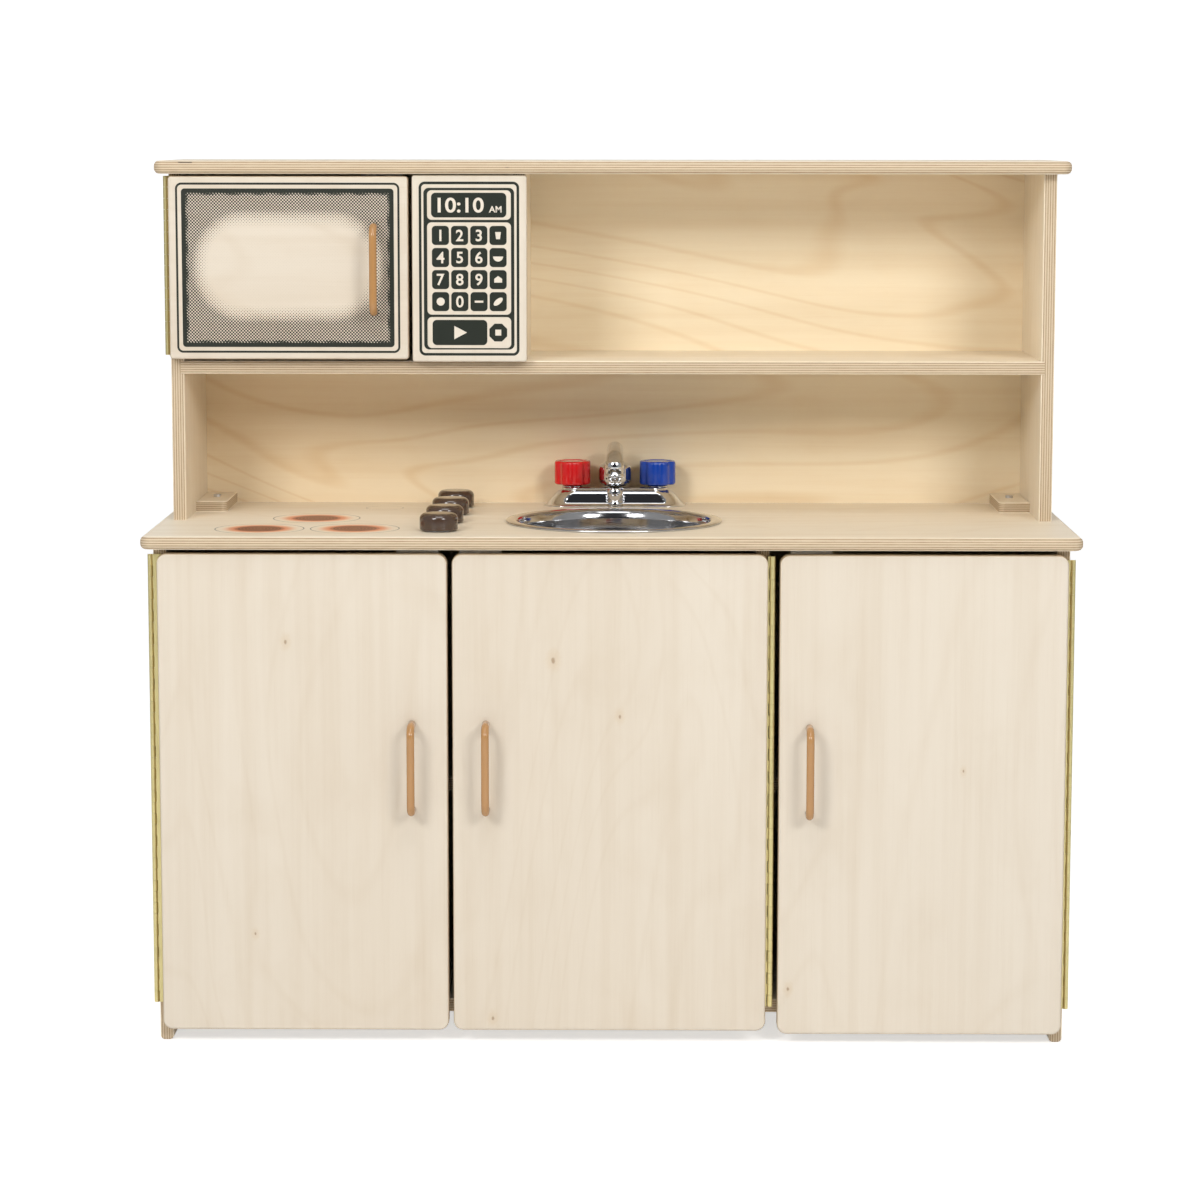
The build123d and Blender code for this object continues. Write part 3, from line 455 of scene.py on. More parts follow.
def metal_wear_group():
    """Handled metal: slow clouds and fine scratches that change the roughness and lift a height."""
    group, n, given, out = new_group("Metal Wear", [("Vector", "Vector"), ("Base", "Float"),
        ("Spread", "Float")], [("Roughness", "Float"), ("Height", "Float"), ("Cloud", "Float")])
    cloud = n.noise(given["Vector"], 45.0, 4.0, 0.6)
    fine = n.noise(given["Vector"], 1400.0, 2.0)
    n.feed(out["Cloud"], cloud)
    n.feed(out["Roughness"], n.add(given["Base"], n.times(n.add(n.times(cloud, 0.7), n.times(fine, 0.3)),
        given["Spread"])))
    n.feed(out["Height"], n.add(n.times(cloud, 0.8), n.times(fine, 0.1)))
    return group


def plastic_group():
    """Moulded plastic: a faint flow ripple and dust specks."""
    group, n, given, out = new_group("Moulded Plastic", [("Vector", "Vector"), ("Color", "Color"),
        ("Base", "Float")], [("Color", "Color"), ("Roughness", "Float"), ("Height", "Float")])
    ripple = n.noise(given["Vector"], 60.0, 3.0, 0.5)
    speck = n.step(n.noise(given["Vector"], 900.0, 2.0), 0.66, 0.78)
    n.feed(out["Color"], n.mix(n.times(ripple, 0.12), given["Color"],
        n.mix(0.5, given["Color"], (1.0, 1.0, 1.0, 1.0), "SOFT_LIGHT")))
    n.feed(out["Roughness"], n.add(given["Base"], n.add(n.times(ripple, 0.08), n.times(speck, 0.12))))
    n.feed(out["Height"], n.add(ripple, n.times(speck, 0.05)))
    return group


GROUPS = {}


def group(name, make):
    """A shared node group, built on first use."""
    if name not in GROUPS:
        GROUPS[name] = make()
    return GROUPS[name]


# ---------------------------------------------------------------- materials
AXES = "XYZ"


def plywood(name, node, thin, grain, colours, seed, figure=0.35, layers=11, decorate=None):
    """Plywood for one panel: thin is the axis through its thickness, grain the axis of its face grain."""
    sizes = bpy.context.scene.kitchen_colours
    low, high = corners(node)
    thin_index, grain_index = AXES.index(thin), AXES.index(grain)
    across_index = 3 - thin_index - grain_index
    material, n, shader, position = new_material(name, Specular_IOR_Level=0.30, Coat_Weight=0.04,
        Coat_Roughness=0.30)
    parts = n.split(position)
    depth = n.less(parts[thin_index], float(low[thin_index]))
    wood = n.group(group("plywood", plywood_group), Across=parts[across_index], Along=parts[grain_index],
        Depth=depth, Seed=seed, Thickness=float(high[thin_index] - low[thin_index]), Layers=float(layers),
        Figure=figure, Light=rgba(getattr(sizes, f"{colours}_light")),
        Dark=rgba(getattr(sizes, f"{colours}_dark")), Edge_Light=rgba(sizes.edge_light),
        Edge_Dark=rgba(sizes.edge_dark))
    colour, roughness = wood.outputs["Color"], wood.outputs["Roughness"]
    if decorate:
        colour, roughness = decorate(n, parts, colour, roughness)
    n.feed(shader.inputs["Base Color"], colour)
    n.feed(shader.inputs["Roughness"], roughness)
    bump(n, shader, wood.outputs["Height"], 0.0002, 0.5)
    return material


def paint(node, material):
    """Give a node of the frame its material, in every slot."""
    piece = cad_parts[node]
    if not piece.material_slots:
        piece.data.materials.append(material)
    for place in piece.material_slots:
        place.material = material


def knots(places):
    """A decoration that adds knots at places given as across, along and size."""
    def decorate(n, parts, colour, roughness):
        for across, along, size in places:
            knot = n.group(group("knot", knot_group), Across=parts[0], Along=parts[2], Knot_Across=across,
                Knot_Along=along, Size=size, Color=colour)
            colour = knot.outputs["Color"]
        return colour, roughness
    return decorate


def box_mask(n, parts, x0, x1, z0, z1, corner):
    """Mask and distance of a rounded rectangle between two corners."""
    node = n.group(group("box", rounded_box_group), X=parts[0], Z=parts[2], Centre_X=(x0 + x1) / 2,
        Centre_Z=(z0 + z1) / 2, Half_Width=(x1 - x0) / 2, Half_Height=(z1 - z0) / 2, Corner=corner)
    return node.outputs["Mask"], node.outputs["Distance"]


def front_only(n, parts, node, ink):
    """Ink only on the front face of a panel, up to the end of its rounded edge."""
    front = float(corners(node)[0][1])
    return n.times(ink, n.less(1.0, n.step(parts[1], front + 2 * MM, front + 3 * MM)))


def outline(n, distance, inner, outer):
    """1 between two distances from a shape's rim."""
    return n.times(n.step(distance, inner - 0.0001, inner + 0.0001),
        n.less(1.0, n.step(distance, outer - 0.0001, outer + 0.0001)))


def window_print(n, parts, colour, roughness):
    """Printed oven window: a thin line, a solid band, and a dot screen that fades to bare wood."""
    low, high = corners("door_microwave")
    x0, x1, z0, z1 = low[0] + 8.6 * MM, high[0] - 9.6 * MM, low[2] + 7.5 * MM, high[2] - 7.3 * MM
    _, rim = box_mask(n, parts, x0, x1, z0, z1, 7 * MM)
    thin_line = outline(n, rim, -0.0024, 0.0)
    inset = 6.6 * MM
    mask, band = box_mask(n, parts, x0 + inset, x1 - inset, z0 + inset, z1 - inset, 4 * MM)
    solid = outline(n, band, -0.0050, 0.0)
    beads = n.times(outline(n, band, -0.0074, -0.0050), n.step(n.math("COSINE",
        n.times(n.add(parts[0], parts[2]), TURN / 0.0032)), 0.1, 0.3))
    solid = n.math("MAXIMUM", solid, n.less(outline(n, band, -0.0074, -0.0050), beads))
    clear_x, clear_z = (x1 - x0) / 2 - 31 * MM, (z1 - z0) / 2 - 46 * MM
    cx, cz = (x0 + x1) / 2, (z0 + z1) / 2 + 2 * MM
    _, fade = box_mask(n, parts, cx - clear_x, cx + clear_x, cz - clear_z, cz + clear_z, 46 * MM)
    tone = n.times(n.step(fade, -0.008, 0.016), 0.54)
    pitch = TURN / (3.6 * MM)
    waves = n.times(n.math("COSINE", n.times(parts[0], pitch)), n.math("COSINE", n.times(parts[2], pitch)))
    screen = n.add(0.5, n.times(waves, 0.5))
    dots = n.step(n.less(n.add(screen, tone), 1.0), -0.04, 0.04)
    dots = n.times(dots, mask)
    ink = n.math("MAXIMUM", n.math("MAXIMUM", thin_line, solid), dots)
    ink = front_only(n, parts, "door_microwave", ink)
    tint = rgba(bpy.context.scene.kitchen_colours.ink)
    return n.mix(n.times(ink, 0.985), colour, tint), n.add(roughness, n.times(ink, -0.06))


KEY_PITCH = (21.75 * MM, 24.9 * MM)
KEY_SIZE = (19.4 * MM, 21.6 * MM)


def keypad_places():
    """Corners of the printed fields, from the keypad panel's own box: left, right, bottom, top."""
    low, high = corners("keypad_panel")
    left, top = low[0], high[2]
    place = {"frame": (7.9, 121.6, 203.4, 7.0), "body": (13.3, 115.9, 196.5, 14.0),
        "screen": (17.4, 112.1, 49.9, 16.7), "window": (21.9, 107.0, 47.3, 19.5),
        "keys": (17.3, 112.2, 156.9, 52.8), "action": (17.3, 112.2, 194.8, 159.7),
        "start": (22.9, 85.1, 191.5, 162.9),}
    return {key: (left + a * MM, left + b * MM, top - c * MM, top - d * MM) for key,
        (a, b, c, d) in place.items()}


def key_centres():
    """Centres of the sixteen keys, row by row from the top left."""
    left, _, _, top = keypad_places()["keys"]
    first = np.array([left + 5.3 * MM + KEY_SIZE[0] / 2, top - 3.9 * MM - KEY_SIZE[1] / 2])
    column, row = np.meshgrid(np.arange(4), np.arange(4))
    return np.stack([first[0] + column * KEY_PITCH[0], first[1] - row * KEY_PITCH[1]], axis=-1)


def keypad_print(n, parts, colour, roughness):
    """Printed keypad: a dark body with light fields, and dark window, keys and buttons on them."""
    place = keypad_places()

    def filled(name, corner):
        return box_mask(n, parts, *place[name], corner * MM)

    thin_line = outline(n, filled("frame", 7)[1], -0.0030, 0.0)
    ink = filled("body", 6)[0]
    for name in ("screen", "keys", "action"):
        ink = n.times(ink, n.less(1.0, filled(name, 5)[0]))
    centres = key_centres()
    for row in centres:
        for x, z in row:
            key = box_mask(n, parts, x - KEY_SIZE[0] / 2, x + KEY_SIZE[0] / 2, z - KEY_SIZE[1] / 2,
                z + KEY_SIZE[1] / 2, 4.2 * MM)[0]
            ink = n.math("MAXIMUM", ink, key)
    for name in ("window", "start"):
        ink = n.math("MAXIMUM", ink, filled(name, 5)[0])
    ink = n.math("MAXIMUM", ink, thin_line)
    ink = n.math("MAXIMUM", ink, octagon_mask(n, parts, *stop_centre(), 10.1 * MM))
    ink = front_only(n, parts, "keypad_panel", ink)
    tint = rgba(bpy.context.scene.kitchen_colours.ink)
    return n.mix(n.times(ink, 0.99), colour, tint), n.add(roughness, n.times(ink, -0.06))


def stop_centre():
    """Centre of the eight-sided button, under the last column of keys."""
    _, _, bottom, top = keypad_places()["start"]
    return key_centres()[0][3][0], (bottom + top) / 2


def octagon_mask(n, parts, cx, cz, radius):
    """Inside of an octagon: the larger of the box distance and the distance along the diagonals."""
    dx = n.size(n.less(parts[0], cx))
    dz = n.size(n.less(parts[2], cz))
    diagonal = n.times(n.add(dx, dz), 0.7071)
    distance = n.less(n.math("MAXIMUM", n.math("MAXIMUM", dx, dz), diagonal), radius)
    return n.less(1.0, n.step(distance, -0.00015, 0.00015))


def hob_print(n, parts, colour, roughness):
    """Three printed burners and a small plain ring on the worktop."""
    sizes = bpy.context.scene.kitchen_sizes
    ink = rgba(bpy.context.scene.kitchen_colours.ink)
    front = corners("worktop")[0][1]
    radius = sizes.burner_radius
    places = [(-395.5, 82.0, radius, 1.0), (-288.6, 86.0, radius, 1.0), (-341.0, 193.6, radius, 1.0),
        (-270.3, 308.9, 22.2 * MM, 0.0)]
    bare = colour
    for x, y, size, glow in places:
        burner = n.group(group("burner", burner_group), X=parts[0], Y=parts[1], Centre_X=x * MM,
            Centre_Y=float(front) + y * MM, Radius=size, Glow=glow, Color=colour, Ink=ink)
        colour = burner.outputs["Color"]
    upper = n.step(parts[2], WORKTOP_TOP - 2 * MM, WORKTOP_TOP - 1 * MM)
    return n.mix(upper, bare, colour), roughness


def metal(name, colour, base, spread, height=0.0, anisotropy=0.0):
    """A metal with clouds and scratches in its roughness."""
    material, n, shader, position = new_material(name, Metallic=1.0, Anisotropic=anisotropy)
    wear = n.group(group("wear", metal_wear_group), Vector=position, Base=base, Spread=spread)
    dull = n.mix(n.times(n.step(wear.outputs["Cloud"], 0.45, 0.8), 0.35), rgba(colour),
        rgba([value * 0.62 for value in colour]))
    n.feed(shader.inputs["Base Color"], dull)
    n.feed(shader.inputs["Roughness"], wear.outputs["Roughness"])
    if height:
        bump(n, shader, wear.outputs["Height"], height, 0.4)
    return material


def plastic(name, colour, base, coat=0.0):
    """A moulded plastic of one colour."""
    material, n, shader, position = new_material(name, Specular_IOR_Level=0.5, Coat_Weight=coat,
        Coat_Roughness=0.06)
    skin = n.group(group("plastic", plastic_group), Vector=position, Color=rgba(colour), Base=base)
    n.feed(shader.inputs["Base Color"], skin.outputs["Color"])
    n.feed(shader.inputs["Roughness"], skin.outputs["Roughness"])
    bump(n, shader, skin.outputs["Height"], 0.0001, 0.35)
    return material


# ---------------------------------------------------------------- operators
class KITCHEN_OT_plywood(bpy.types.Operator):
    """Give every plywood panel its own veneer, edge layers and print"""
    bl_idname = "kitchen.plywood"
    bl_label = "Plywood panels"

    def execute(self, context):
        door_low = {name: corners(f"door_{name}")[0] for name in DOORS}
        left, mid, right = (door_low[name] for name in ("left", "middle", "right"))
        door_knots = {"left": [(left[0] + 0.142, left[2] + 0.44, 0.0030),
            (left[0] + 0.105, left[2] + 0.11, 0.0022)], "middle": [(mid[0] + 0.112, mid[2] + 0.420, 0.0042),
            (mid[0] + 0.186, mid[2] + 0.357, 0.0028), (mid[0] + 0.044, mid[2] + 0.014, 0.0030)],
            "right": [(right[0] + 0.012, right[2] + 0.052, 0.0028),
            (right[0] + 0.205, right[2] + 0.30, 0.0020)],}
        for number, name in enumerate(("left", "middle", "right")):
            paint(f"door_{name}", plywood(f"birch_door_{name}", f"door_{name}", "Y", "Z", "door",
                2.0 + 3.7 * number, 0.22, decorate=knots(door_knots[name])))
        paint("door_microwave", plywood("birch_door_microwave", "door_microwave", "Y", "X", "door", 21.0,
            0.30, decorate=window_print))
        paint("keypad_panel", plywood("birch_keypad", "keypad_panel", "Y", "Z", "door", 25.0, 0.15,
            decorate=keypad_print))
        paint("worktop", plywood("birch_worktop", "worktop", "Z", "X", "panel", 31.0, 0.30,
            decorate=hob_print))
        flat = [("hutch_top", "Z", "X"), ("hutch_shelf", "Z", "X"), ("base_bottom", "Z", "X"),
            ("base_shelf_left", "Z", "X"), ("base_shelf_right", "Z", "X"), ("base_side_left", "X", "Z"),
            ("base_side_right", "X", "Z"), ("base_divider", "X", "Z"), ("hutch_side_left", "X", "Z"),
            ("hutch_side_right", "X", "Z"), ("microwave_partition", "X", "Z"), ("cleat_left", "Z", "Y"),
            ("cleat_right", "Z", "Y")]
        for number, (node, thin, grain) in enumerate(flat):
            paint(node, plywood(f"birch_{node}", node, thin, grain, "panel", 40.0 + 2.3 * number, 0.30))
        for number, node in enumerate(("hutch_back", "base_back")):
            paint(node, plywood(f"birch_{node}", node, "Y", "X", "back", 80.0 + 5.0 * number, 0.75, layers=3))
        return {"FINISHED"}


class KITCHEN_OT_hardware(bpy.types.Operator):
    """Finish hinges, screws and catches"""
    bl_idname = "kitchen.hardware"
    bl_label = "Hinges and screws"

    def execute(self, context):
        colours = context.scene.kitchen_colours
        brass = metal("brass_plate", colours.brass, 0.24, 0.22, 0.00006)
        zinc = metal("zinc_plate", (0.62, 0.62, 0.63), 0.28, 0.2, 0.00004)
        catch = plastic("catch_plastic", (0.78, 0.77, 0.74), 0.42)
        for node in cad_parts:
            if node.startswith("hinge"):
                paint(node, brass)
            elif node.startswith(("handle_screws", "strike_plate")) or node in (
                    "cleat_screws", "tap_lock_nuts", "hob_pivots"):
                paint(node, zinc)
        paint("door_catches", catch)
        return {"FINISHED"}


class KITCHEN_OT_handles(bpy.types.Operator):
    """Bend the four wire handles"""
    bl_idname = "kitchen.handles"
    bl_label = "Wire handles"

    def execute(self, context):
        sizes = context.scene.kitchen_sizes
        finish = plastic("tan_coating", context.scene.kitchen_colours.handle, 0.16, 0.35)
        radius, bend = sizes.handle_wire / 2, sizes.handle_bend
        for name in DOORS:
            low, high = corners(f"handle_{name}")
            x, face, front = (low[0] + high[0]) / 2, high[1], low[1] + radius
            z0, z1 = low[2] + radius, high[2] - radius
            corner_low = arc((front + bend, z0 + bend), bend, 270, 180, 14)
            corner_high = arc((front + bend, z1 - bend), bend, 180, 90, 14)
            rise = np.linspace(corner_low[-1], corner_high[0], 10)[1:-1]
            flat = join((face - 0.00002, z0), (face - 6 * MM, z0), corner_low, rise, corner_high,
                (face - 6 * MM, z1), (face - 0.00002, z1))
            path = np.column_stack([np.full(len(flat), x), flat])
            vertices, faces = tube(path, radius, 32)
            make_object(f"wire_handle_{name}", vertices, faces, f"door_{name}", finish,
                f"handle_{name}")
        return {"FINISHED"}


class KITCHEN_OT_sink(bpy.types.Operator):
    """Spin the steel bowl with its rolled rim"""
    bl_idname = "kitchen.sink"
    bl_label = "Sink bowl"

    def execute(self, context):
        sizes = context.scene.kitchen_sizes
        low, high = corners("sink_bowl")
        rim_radius = (high[0] - low[0]) / 2
        rim_top = high[2] - WORKTOP_TOP
        mouth, depth, wall = sizes.sink_mouth, sizes.sink_depth, 1.1 * MM
        floor_radius, lip_drop, lean = 45 * MM, 6 * MM, 1.5 * MM
        swing = np.linspace(0, np.pi / 2, 48)
        bowl_radius = floor_radius + (mouth - lean - floor_radius) * np.sin(swing)
        bowl_height = -lip_drop - (depth - lip_drop) * np.cos(swing)
        inner = np.stack([bowl_radius, bowl_height], axis=-1)
        lip = np.array([(mouth + 0.6 * MM, -0.6 * MM), (mouth + 1.9 * MM, 1.6 * MM)])
        across = np.linspace(0, 1, 14)
        crown = np.stack([mouth + 3.2 * MM + (rim_radius - mouth - 5.2 * MM) * across,
            2.2 * MM + (rim_top - 2.2 * MM) * np.sin(across * np.pi * 0.72 + 0.35)], axis=-1)
        roll = arc((rim_radius - 1.5 * MM, 1.5 * MM), 1.5 * MM, 70, -80, 10)
        outer = np.array([(rim_radius - 4 * MM, 0.1 * MM), (mouth + 1.5 * MM, 0.1 * MM)])
        shell = inner[::-1] + wall * np.stack([np.sin(swing), -np.cos(swing)], axis=-1)[::-1]
        profile = join((0, -depth), (floor_radius * 0.5, -depth), inner, lip, crown, roll, outer, shell,
            (floor_radius * 0.5, -depth - wall), (0, -depth - wall))
        centre = np.array([SINK[0], SINK[1], WORKTOP_TOP])
        vertices, faces = turned(centre, profile[::-1], sizes.segments)
        steel = metal("polished_steel", (0.56, 0.56, 0.57), 0.07, 0.08, 0.00003, 0.3)
        make_object("steel_sink", vertices, faces, "cabinet", steel, "sink_bowl")
        return {"FINISHED"}


def stadium(centre, length, depth, height, around):
    """Ring of a slot outline: half circles of half the depth about two centres on the long axis."""
    angle = (np.arange(around) + 0.5) * TURN / around
    half = (length - depth) / 2
    return np.stack([centre[0] + np.sign(np.cos(angle)) * half + depth / 2 * np.cos(angle),
        centre[1] + depth / 2 * np.sin(angle), np.full(around, centre[2] + height)], axis=-1)


class KITCHEN_OT_tap(bpy.types.Operator):
    """Cast the tap's body and spout and mould its two knobs"""
    bl_idname = "kitchen.tap"
    bl_label = "Tap"

    def execute(self, context):
        sizes = context.scene.kitchen_sizes
        colours = context.scene.kitchen_colours
        chrome = metal("tap_chrome", (0.70, 0.71, 0.73), 0.03, 0.04, 0.00002)
        base = np.array([TAP[0], TAP[1], WORKTOP_TOP])
        levels = np.array([(170, 54, 0.0), (170, 54, 1.0), (168, 52, 1.6), (165, 49.6, 1.9),
            (158.5, 46.4, 5.0), (152, 44.4, 9.0), (145, 42.0, 13.5), (138, 39.6, 17.0), (126, 37.0, 19.3),
            (125.6, 37.0, 19.6), (127, 39.6, 20.0), (127, 40.0, 21.6), (125.6, 38.8, 22.3),
            (123, 36.2, 22.5)])
        rings = np.array([stadium(base, *level[:2] * MM, level[2] * MM, 128) for level in levels])
        body = closed_surface(rings, base, base + (0, 0, 22.5 * MM))
        boss_centre = base + (0, -(54 / 2 - 13) * MM, 0)
        boss = turned(boss_centre, np.array([(0, 0.2), (10.9, 0.2), (11, 2), (11, 6.5), (10.2, 7.2),
            (10.2, 8.2), (11, 9), (11, 20.5), (10, 22.0), (0, 22.4)]) * MM, 48)
        stems = [turned(base + (side * 50.8 * MM, 0, 22 * MM),
            np.array([(0, 0), (12, 0), (12, 1.8), (11, 2.3), (4, 2.4), (4, 18), (0, 18.3)]) * MM,
            48) for side in (-1, 1)]
        shanks = [turned(base + (side * 50.8 * MM, 0, 0.3 * MM),
            np.array([(0, -50), (9.4, -50), (10, -49.2), (10, 0), (0, 0)]) * MM, 48) for side in (-1, 1)]
        vertices, faces = merged(body, boss, *stems, *shanks)
        make_object("tap_casting", vertices, faces, "cabinet", chrome, "tap_body")
        self.make_spout(sizes, chrome, base)
        self.make_knobs(sizes, colours)
        return {"FINISHED"}

    def make_spout(self, sizes, chrome, base):
        """Hub, bent tube and aerator."""
        hub_base = 23.5 * MM
        hub = np.array([(0, 0), (10.8, 0), *arc((10.8, 9), 9, -84, 0, 12), *arc((10.8, 19), 9, 0, 84, 12),
            (10.4, 28), (0, 28)]) * MM
        hub_surface = turned(base + (0, 0, hub_base), hub, 72)
        top, reach = 68 * MM, sizes.spout_reach
        back = arc((19 * MM, top - 19 * MM), 19 * MM, 180, 92, 18)
        fall = arc((reach - 15 * MM, top - 4 * MM - 15 * MM), 15 * MM, 92, 0, 18)
        flat = join((0, hub_base + 14 * MM), (0, hub_base + 20 * MM), back, fall, (reach, 50 * MM),
            (reach, 46 * MM))
        path = np.column_stack([np.full(len(flat), base[0]), base[1] - flat[:, 0], base[2] + flat[:, 1]])
        pipe = tube(path, sizes.spout_tube, 48)
        nozzle = np.array([(0, 2.6), (7.4, 2.6), (7.5, 0.3), (7.8, 0), (10.7, 0), (11.3, 0.6), (11.3, 4.0),
            (10.9, 4.3), (10.9, 5.0), (11.3, 5.3), (11.3, 17.6), (10.4, 18.9), (0, 19.0)]) * MM
        aerator = turned(base + (0, -reach, 43 * MM), nozzle, 64)
        vertices, faces = merged(hub_surface, pipe, aerator)
        make_object("spout_casting", vertices, faces, "spout", chrome, "tap_spout")

    def make_knobs(self, sizes, colours):
        """Scalloped knobs: the radius dips between the lobes with the fourth power of a cosine."""
        def scallop(angle):
            return 1 - 0.085 * np.cos(sizes.knob_lobes / 2 * angle) ** 4

        outline_points = np.array([
            (0, 0), (19.6, 0), (21.2, 0.5), (21.9, 1.4), (22.2, 3.0), (22.2, 25.2), (21.9, 26.5),
            (21.0, 27.5), (19.4, 28.0), (17.8, 27.8), (16.6, 27.2), (9, 27.3), (0, 27.4)]) * MM
        for side, colour in (("hot", colours.knob_red), ("cold", colours.knob_blue)):
            node = f"tap_knob_{side}"
            low, high = corners(node)
            centre = np.array([(low[0] + high[0]) / 2, (low[1] + high[1]) / 2, low[2]])
            vertices, faces = turned(centre, outline_points, 160, scallop)
            make_object(f"scalloped_knob_{side}", vertices, faces, node,
                plastic(f"{side}_knob_plastic", colour, 0.13, 0.3), node)


class KITCHEN_OT_hob_knobs(bpy.types.Operator):
    """Turn the four hob knobs"""
    bl_idname = "kitchen.hob_knobs"
    bl_label = "Hob knobs"

    def execute(self, context):
        sizes = context.scene.kitchen_sizes
        finish = plastic("brown_knob_plastic", context.scene.kitchen_colours.knob_brown, 0.13, 0.4)
        for number in range(1, 5):
            node = f"hob_knob_{number}"
            low, high = corners(node)
            radius, height = (high[0] - low[0]) / 2 / MM, (high[2] - low[2]) / MM
            profile = join((0, 0), (radius - 2.2, 0), arc((radius - 1.2, 1.2), 1.2, -80, 0, 6),
                arc((radius - 6.5, height - 6.5), 6.5, 0, 88, 16), (0, height)) * MM
            centre = np.array([(low[0] + high[0]) / 2, (low[1] + high[1]) / 2, low[2]])
            vertices, faces = turned(centre, profile, sizes.segments)
            make_object(f"round_knob_{number}", vertices, faces, node, finish, node)
        return {"FINISHED"}


def lettering(name, text, x, z, size, material, squeeze=1.0):
    """Thin raised digits on the keypad, centred on a point of its face."""
    curve = bpy.data.curves.new(name, "FONT")
    curve.body = text
    curve.align_x, curve.align_y = "CENTER", "CENTER"
    curve.size = size
    curve.offset = size * 0.018
    curve.extrude = 0.00005
    holder = bpy.data.objects.new(name, curve)
    bpy.context.scene.collection.objects.link(holder)
    bpy.context.view_layer.update()
    mesh = bpy.data.meshes.new_from_object(holder.evaluated_get(bpy.context.evaluated_depsgraph_get()))
    bpy.data.objects.remove(holder)
    face = corners("keypad_panel")[0][1]
    points = np.empty(len(mesh.vertices) * 3)
    mesh.vertices.foreach_get("co", points)
    points = points.reshape(-1, 3)
    centre = (points.min(0) + points.max(0)) / 2
    placed = np.stack([(points[:, 0] - centre[0]) * squeeze + x, points[:, 2] * -1 + face - 0.00005,
        points[:, 1] - centre[1] + z], axis=-1)
    mesh.vertices.foreach_set("co", placed.ravel())
    mesh.update()
    mesh.materials.clear()
    mesh.materials.append(material)
    piece = bpy.data.objects.new(name, mesh)
    bpy.context.scene.collection.objects.link(piece)
    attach(piece, "cabinet")
    return piece


class KITCHEN_OT_keypad_digits(bpy.types.Operator):
    """Set the digits, the clock and plain signs on the printed keys"""
    bl_idname = "kitchen.keypad_digits"
    bl_label = "Keypad digits"

    def execute(self, context):
        colours = context.scene.kitchen_colours
        pale = plastic("pale_print", colours.door_light, 0.45)
        centres = key_centres()
        window = keypad_places()["window"]
        middle_z = (window[2] + window[3]) / 2
        lettering("clock_digits", "10:10", (window[0] + window[1]) / 2 - 9 * MM, middle_z, 23 * MM, pale,
            1.12)
        lettering("clock_half", "AM", window[1] - 12.5 * MM, middle_z - 4.6 * MM, 10 * MM, pale)
        labels = [["1", "2", "3"], ["4", "5", "6"], ["7", "8", "9"], [None, "0", None]]
        for row, texts in enumerate(labels):
            for column, text in enumerate(texts):
                if text:
                    x, z = centres[row][column]
                    lettering(f"key_digit_{text}", text, x, z, 18 * MM, pale)
        self.make_signs(centres, pale)
        return {"FINISHED"}

    def make_signs(self, centres, pale):
        """Plain signs, each a flat outline: a cup, a bowl, a clock face, a leaf, a triangle and a square."""
        face = corners("keypad_panel")[0][1]
        angle = np.arange(32) * TURN / 32
        circle = np.stack([np.cos(angle), np.sin(angle)], axis=-1)
        cup = np.array([(-0.62, 0.75), (-0.42, -0.8), (0.42, -0.8), (0.62, 0.75)])
        bowl = join((-0.95, 0.2), arc((0, 0.2), 0.95, 180, 360, 17)[1:-1], (0.95, 0.2))
        leaf = np.stack([circle[:, 0] * 0.95, circle[:, 1] * 0.45],
            axis=-1) @ np.array([(0.77, 0.64), (-0.64, 0.77)])
        cake = np.array([(-0.8, -0.6), (0.8, -0.6), (0.8, 0.15), (0, 0.75), (-0.8, 0.15)])
        start = keypad_places()["start"]
        start_centre = ((start[0] + start[1]) / 2, (start[2] + start[3]) / 2)
        signs = {"sign_cup": (cup, centres[0][3], 5.2), "sign_bowl": (bowl, centres[1][3], 6.0),
            "sign_cake": (cake, centres[2][3], 5.6), "sign_leaf": (leaf, centres[3][3], 6.6),
            "sign_hour": (circle, centres[3][0], 4.6), "sign_clear": (np.array([(-0.75, -0.18),
            (0.75, -0.18), (0.75, 0.18), (-0.75, 0.18)]), centres[3][2], 6.5),
            "sign_start": (np.array([(-0.8, -0.95), (1.0, 0), (-0.8, 0.95)]), start_centre, 8.0),
            "sign_stop": (np.array([(-0.8, -0.8), (0.8, -0.8), (0.8, 0.8), (-0.8, 0.8)]), stop_centre(),
            4.2),}
        for name, (shape, centre, size) in signs.items():
            count = len(shape)
            flat = shape * size * MM + np.array(centre)
            near = np.column_stack([flat[:, 0], np.full(count, face - 0.0001), flat[:, 1]])
            far = near + np.array((0, 0.0001, 0))
            index = np.arange(count)
            after = (index + 1) % count
            sides = np.stack([index + count, after + count, after, index], axis=-1).tolist()
            area = np.sum(flat[:, 0] * np.roll(flat[:, 1], -1) - np.roll(flat[:, 0], -1) * flat[:, 1])
            faces = [index.tolist(), (index[::-1] + count).tolist()] + sides
            if area < 0:
                faces = [polygon[::-1] for polygon in faces]
            make_object(name, np.concatenate([near, far]), faces, "cabinet", pale, smooth=False)


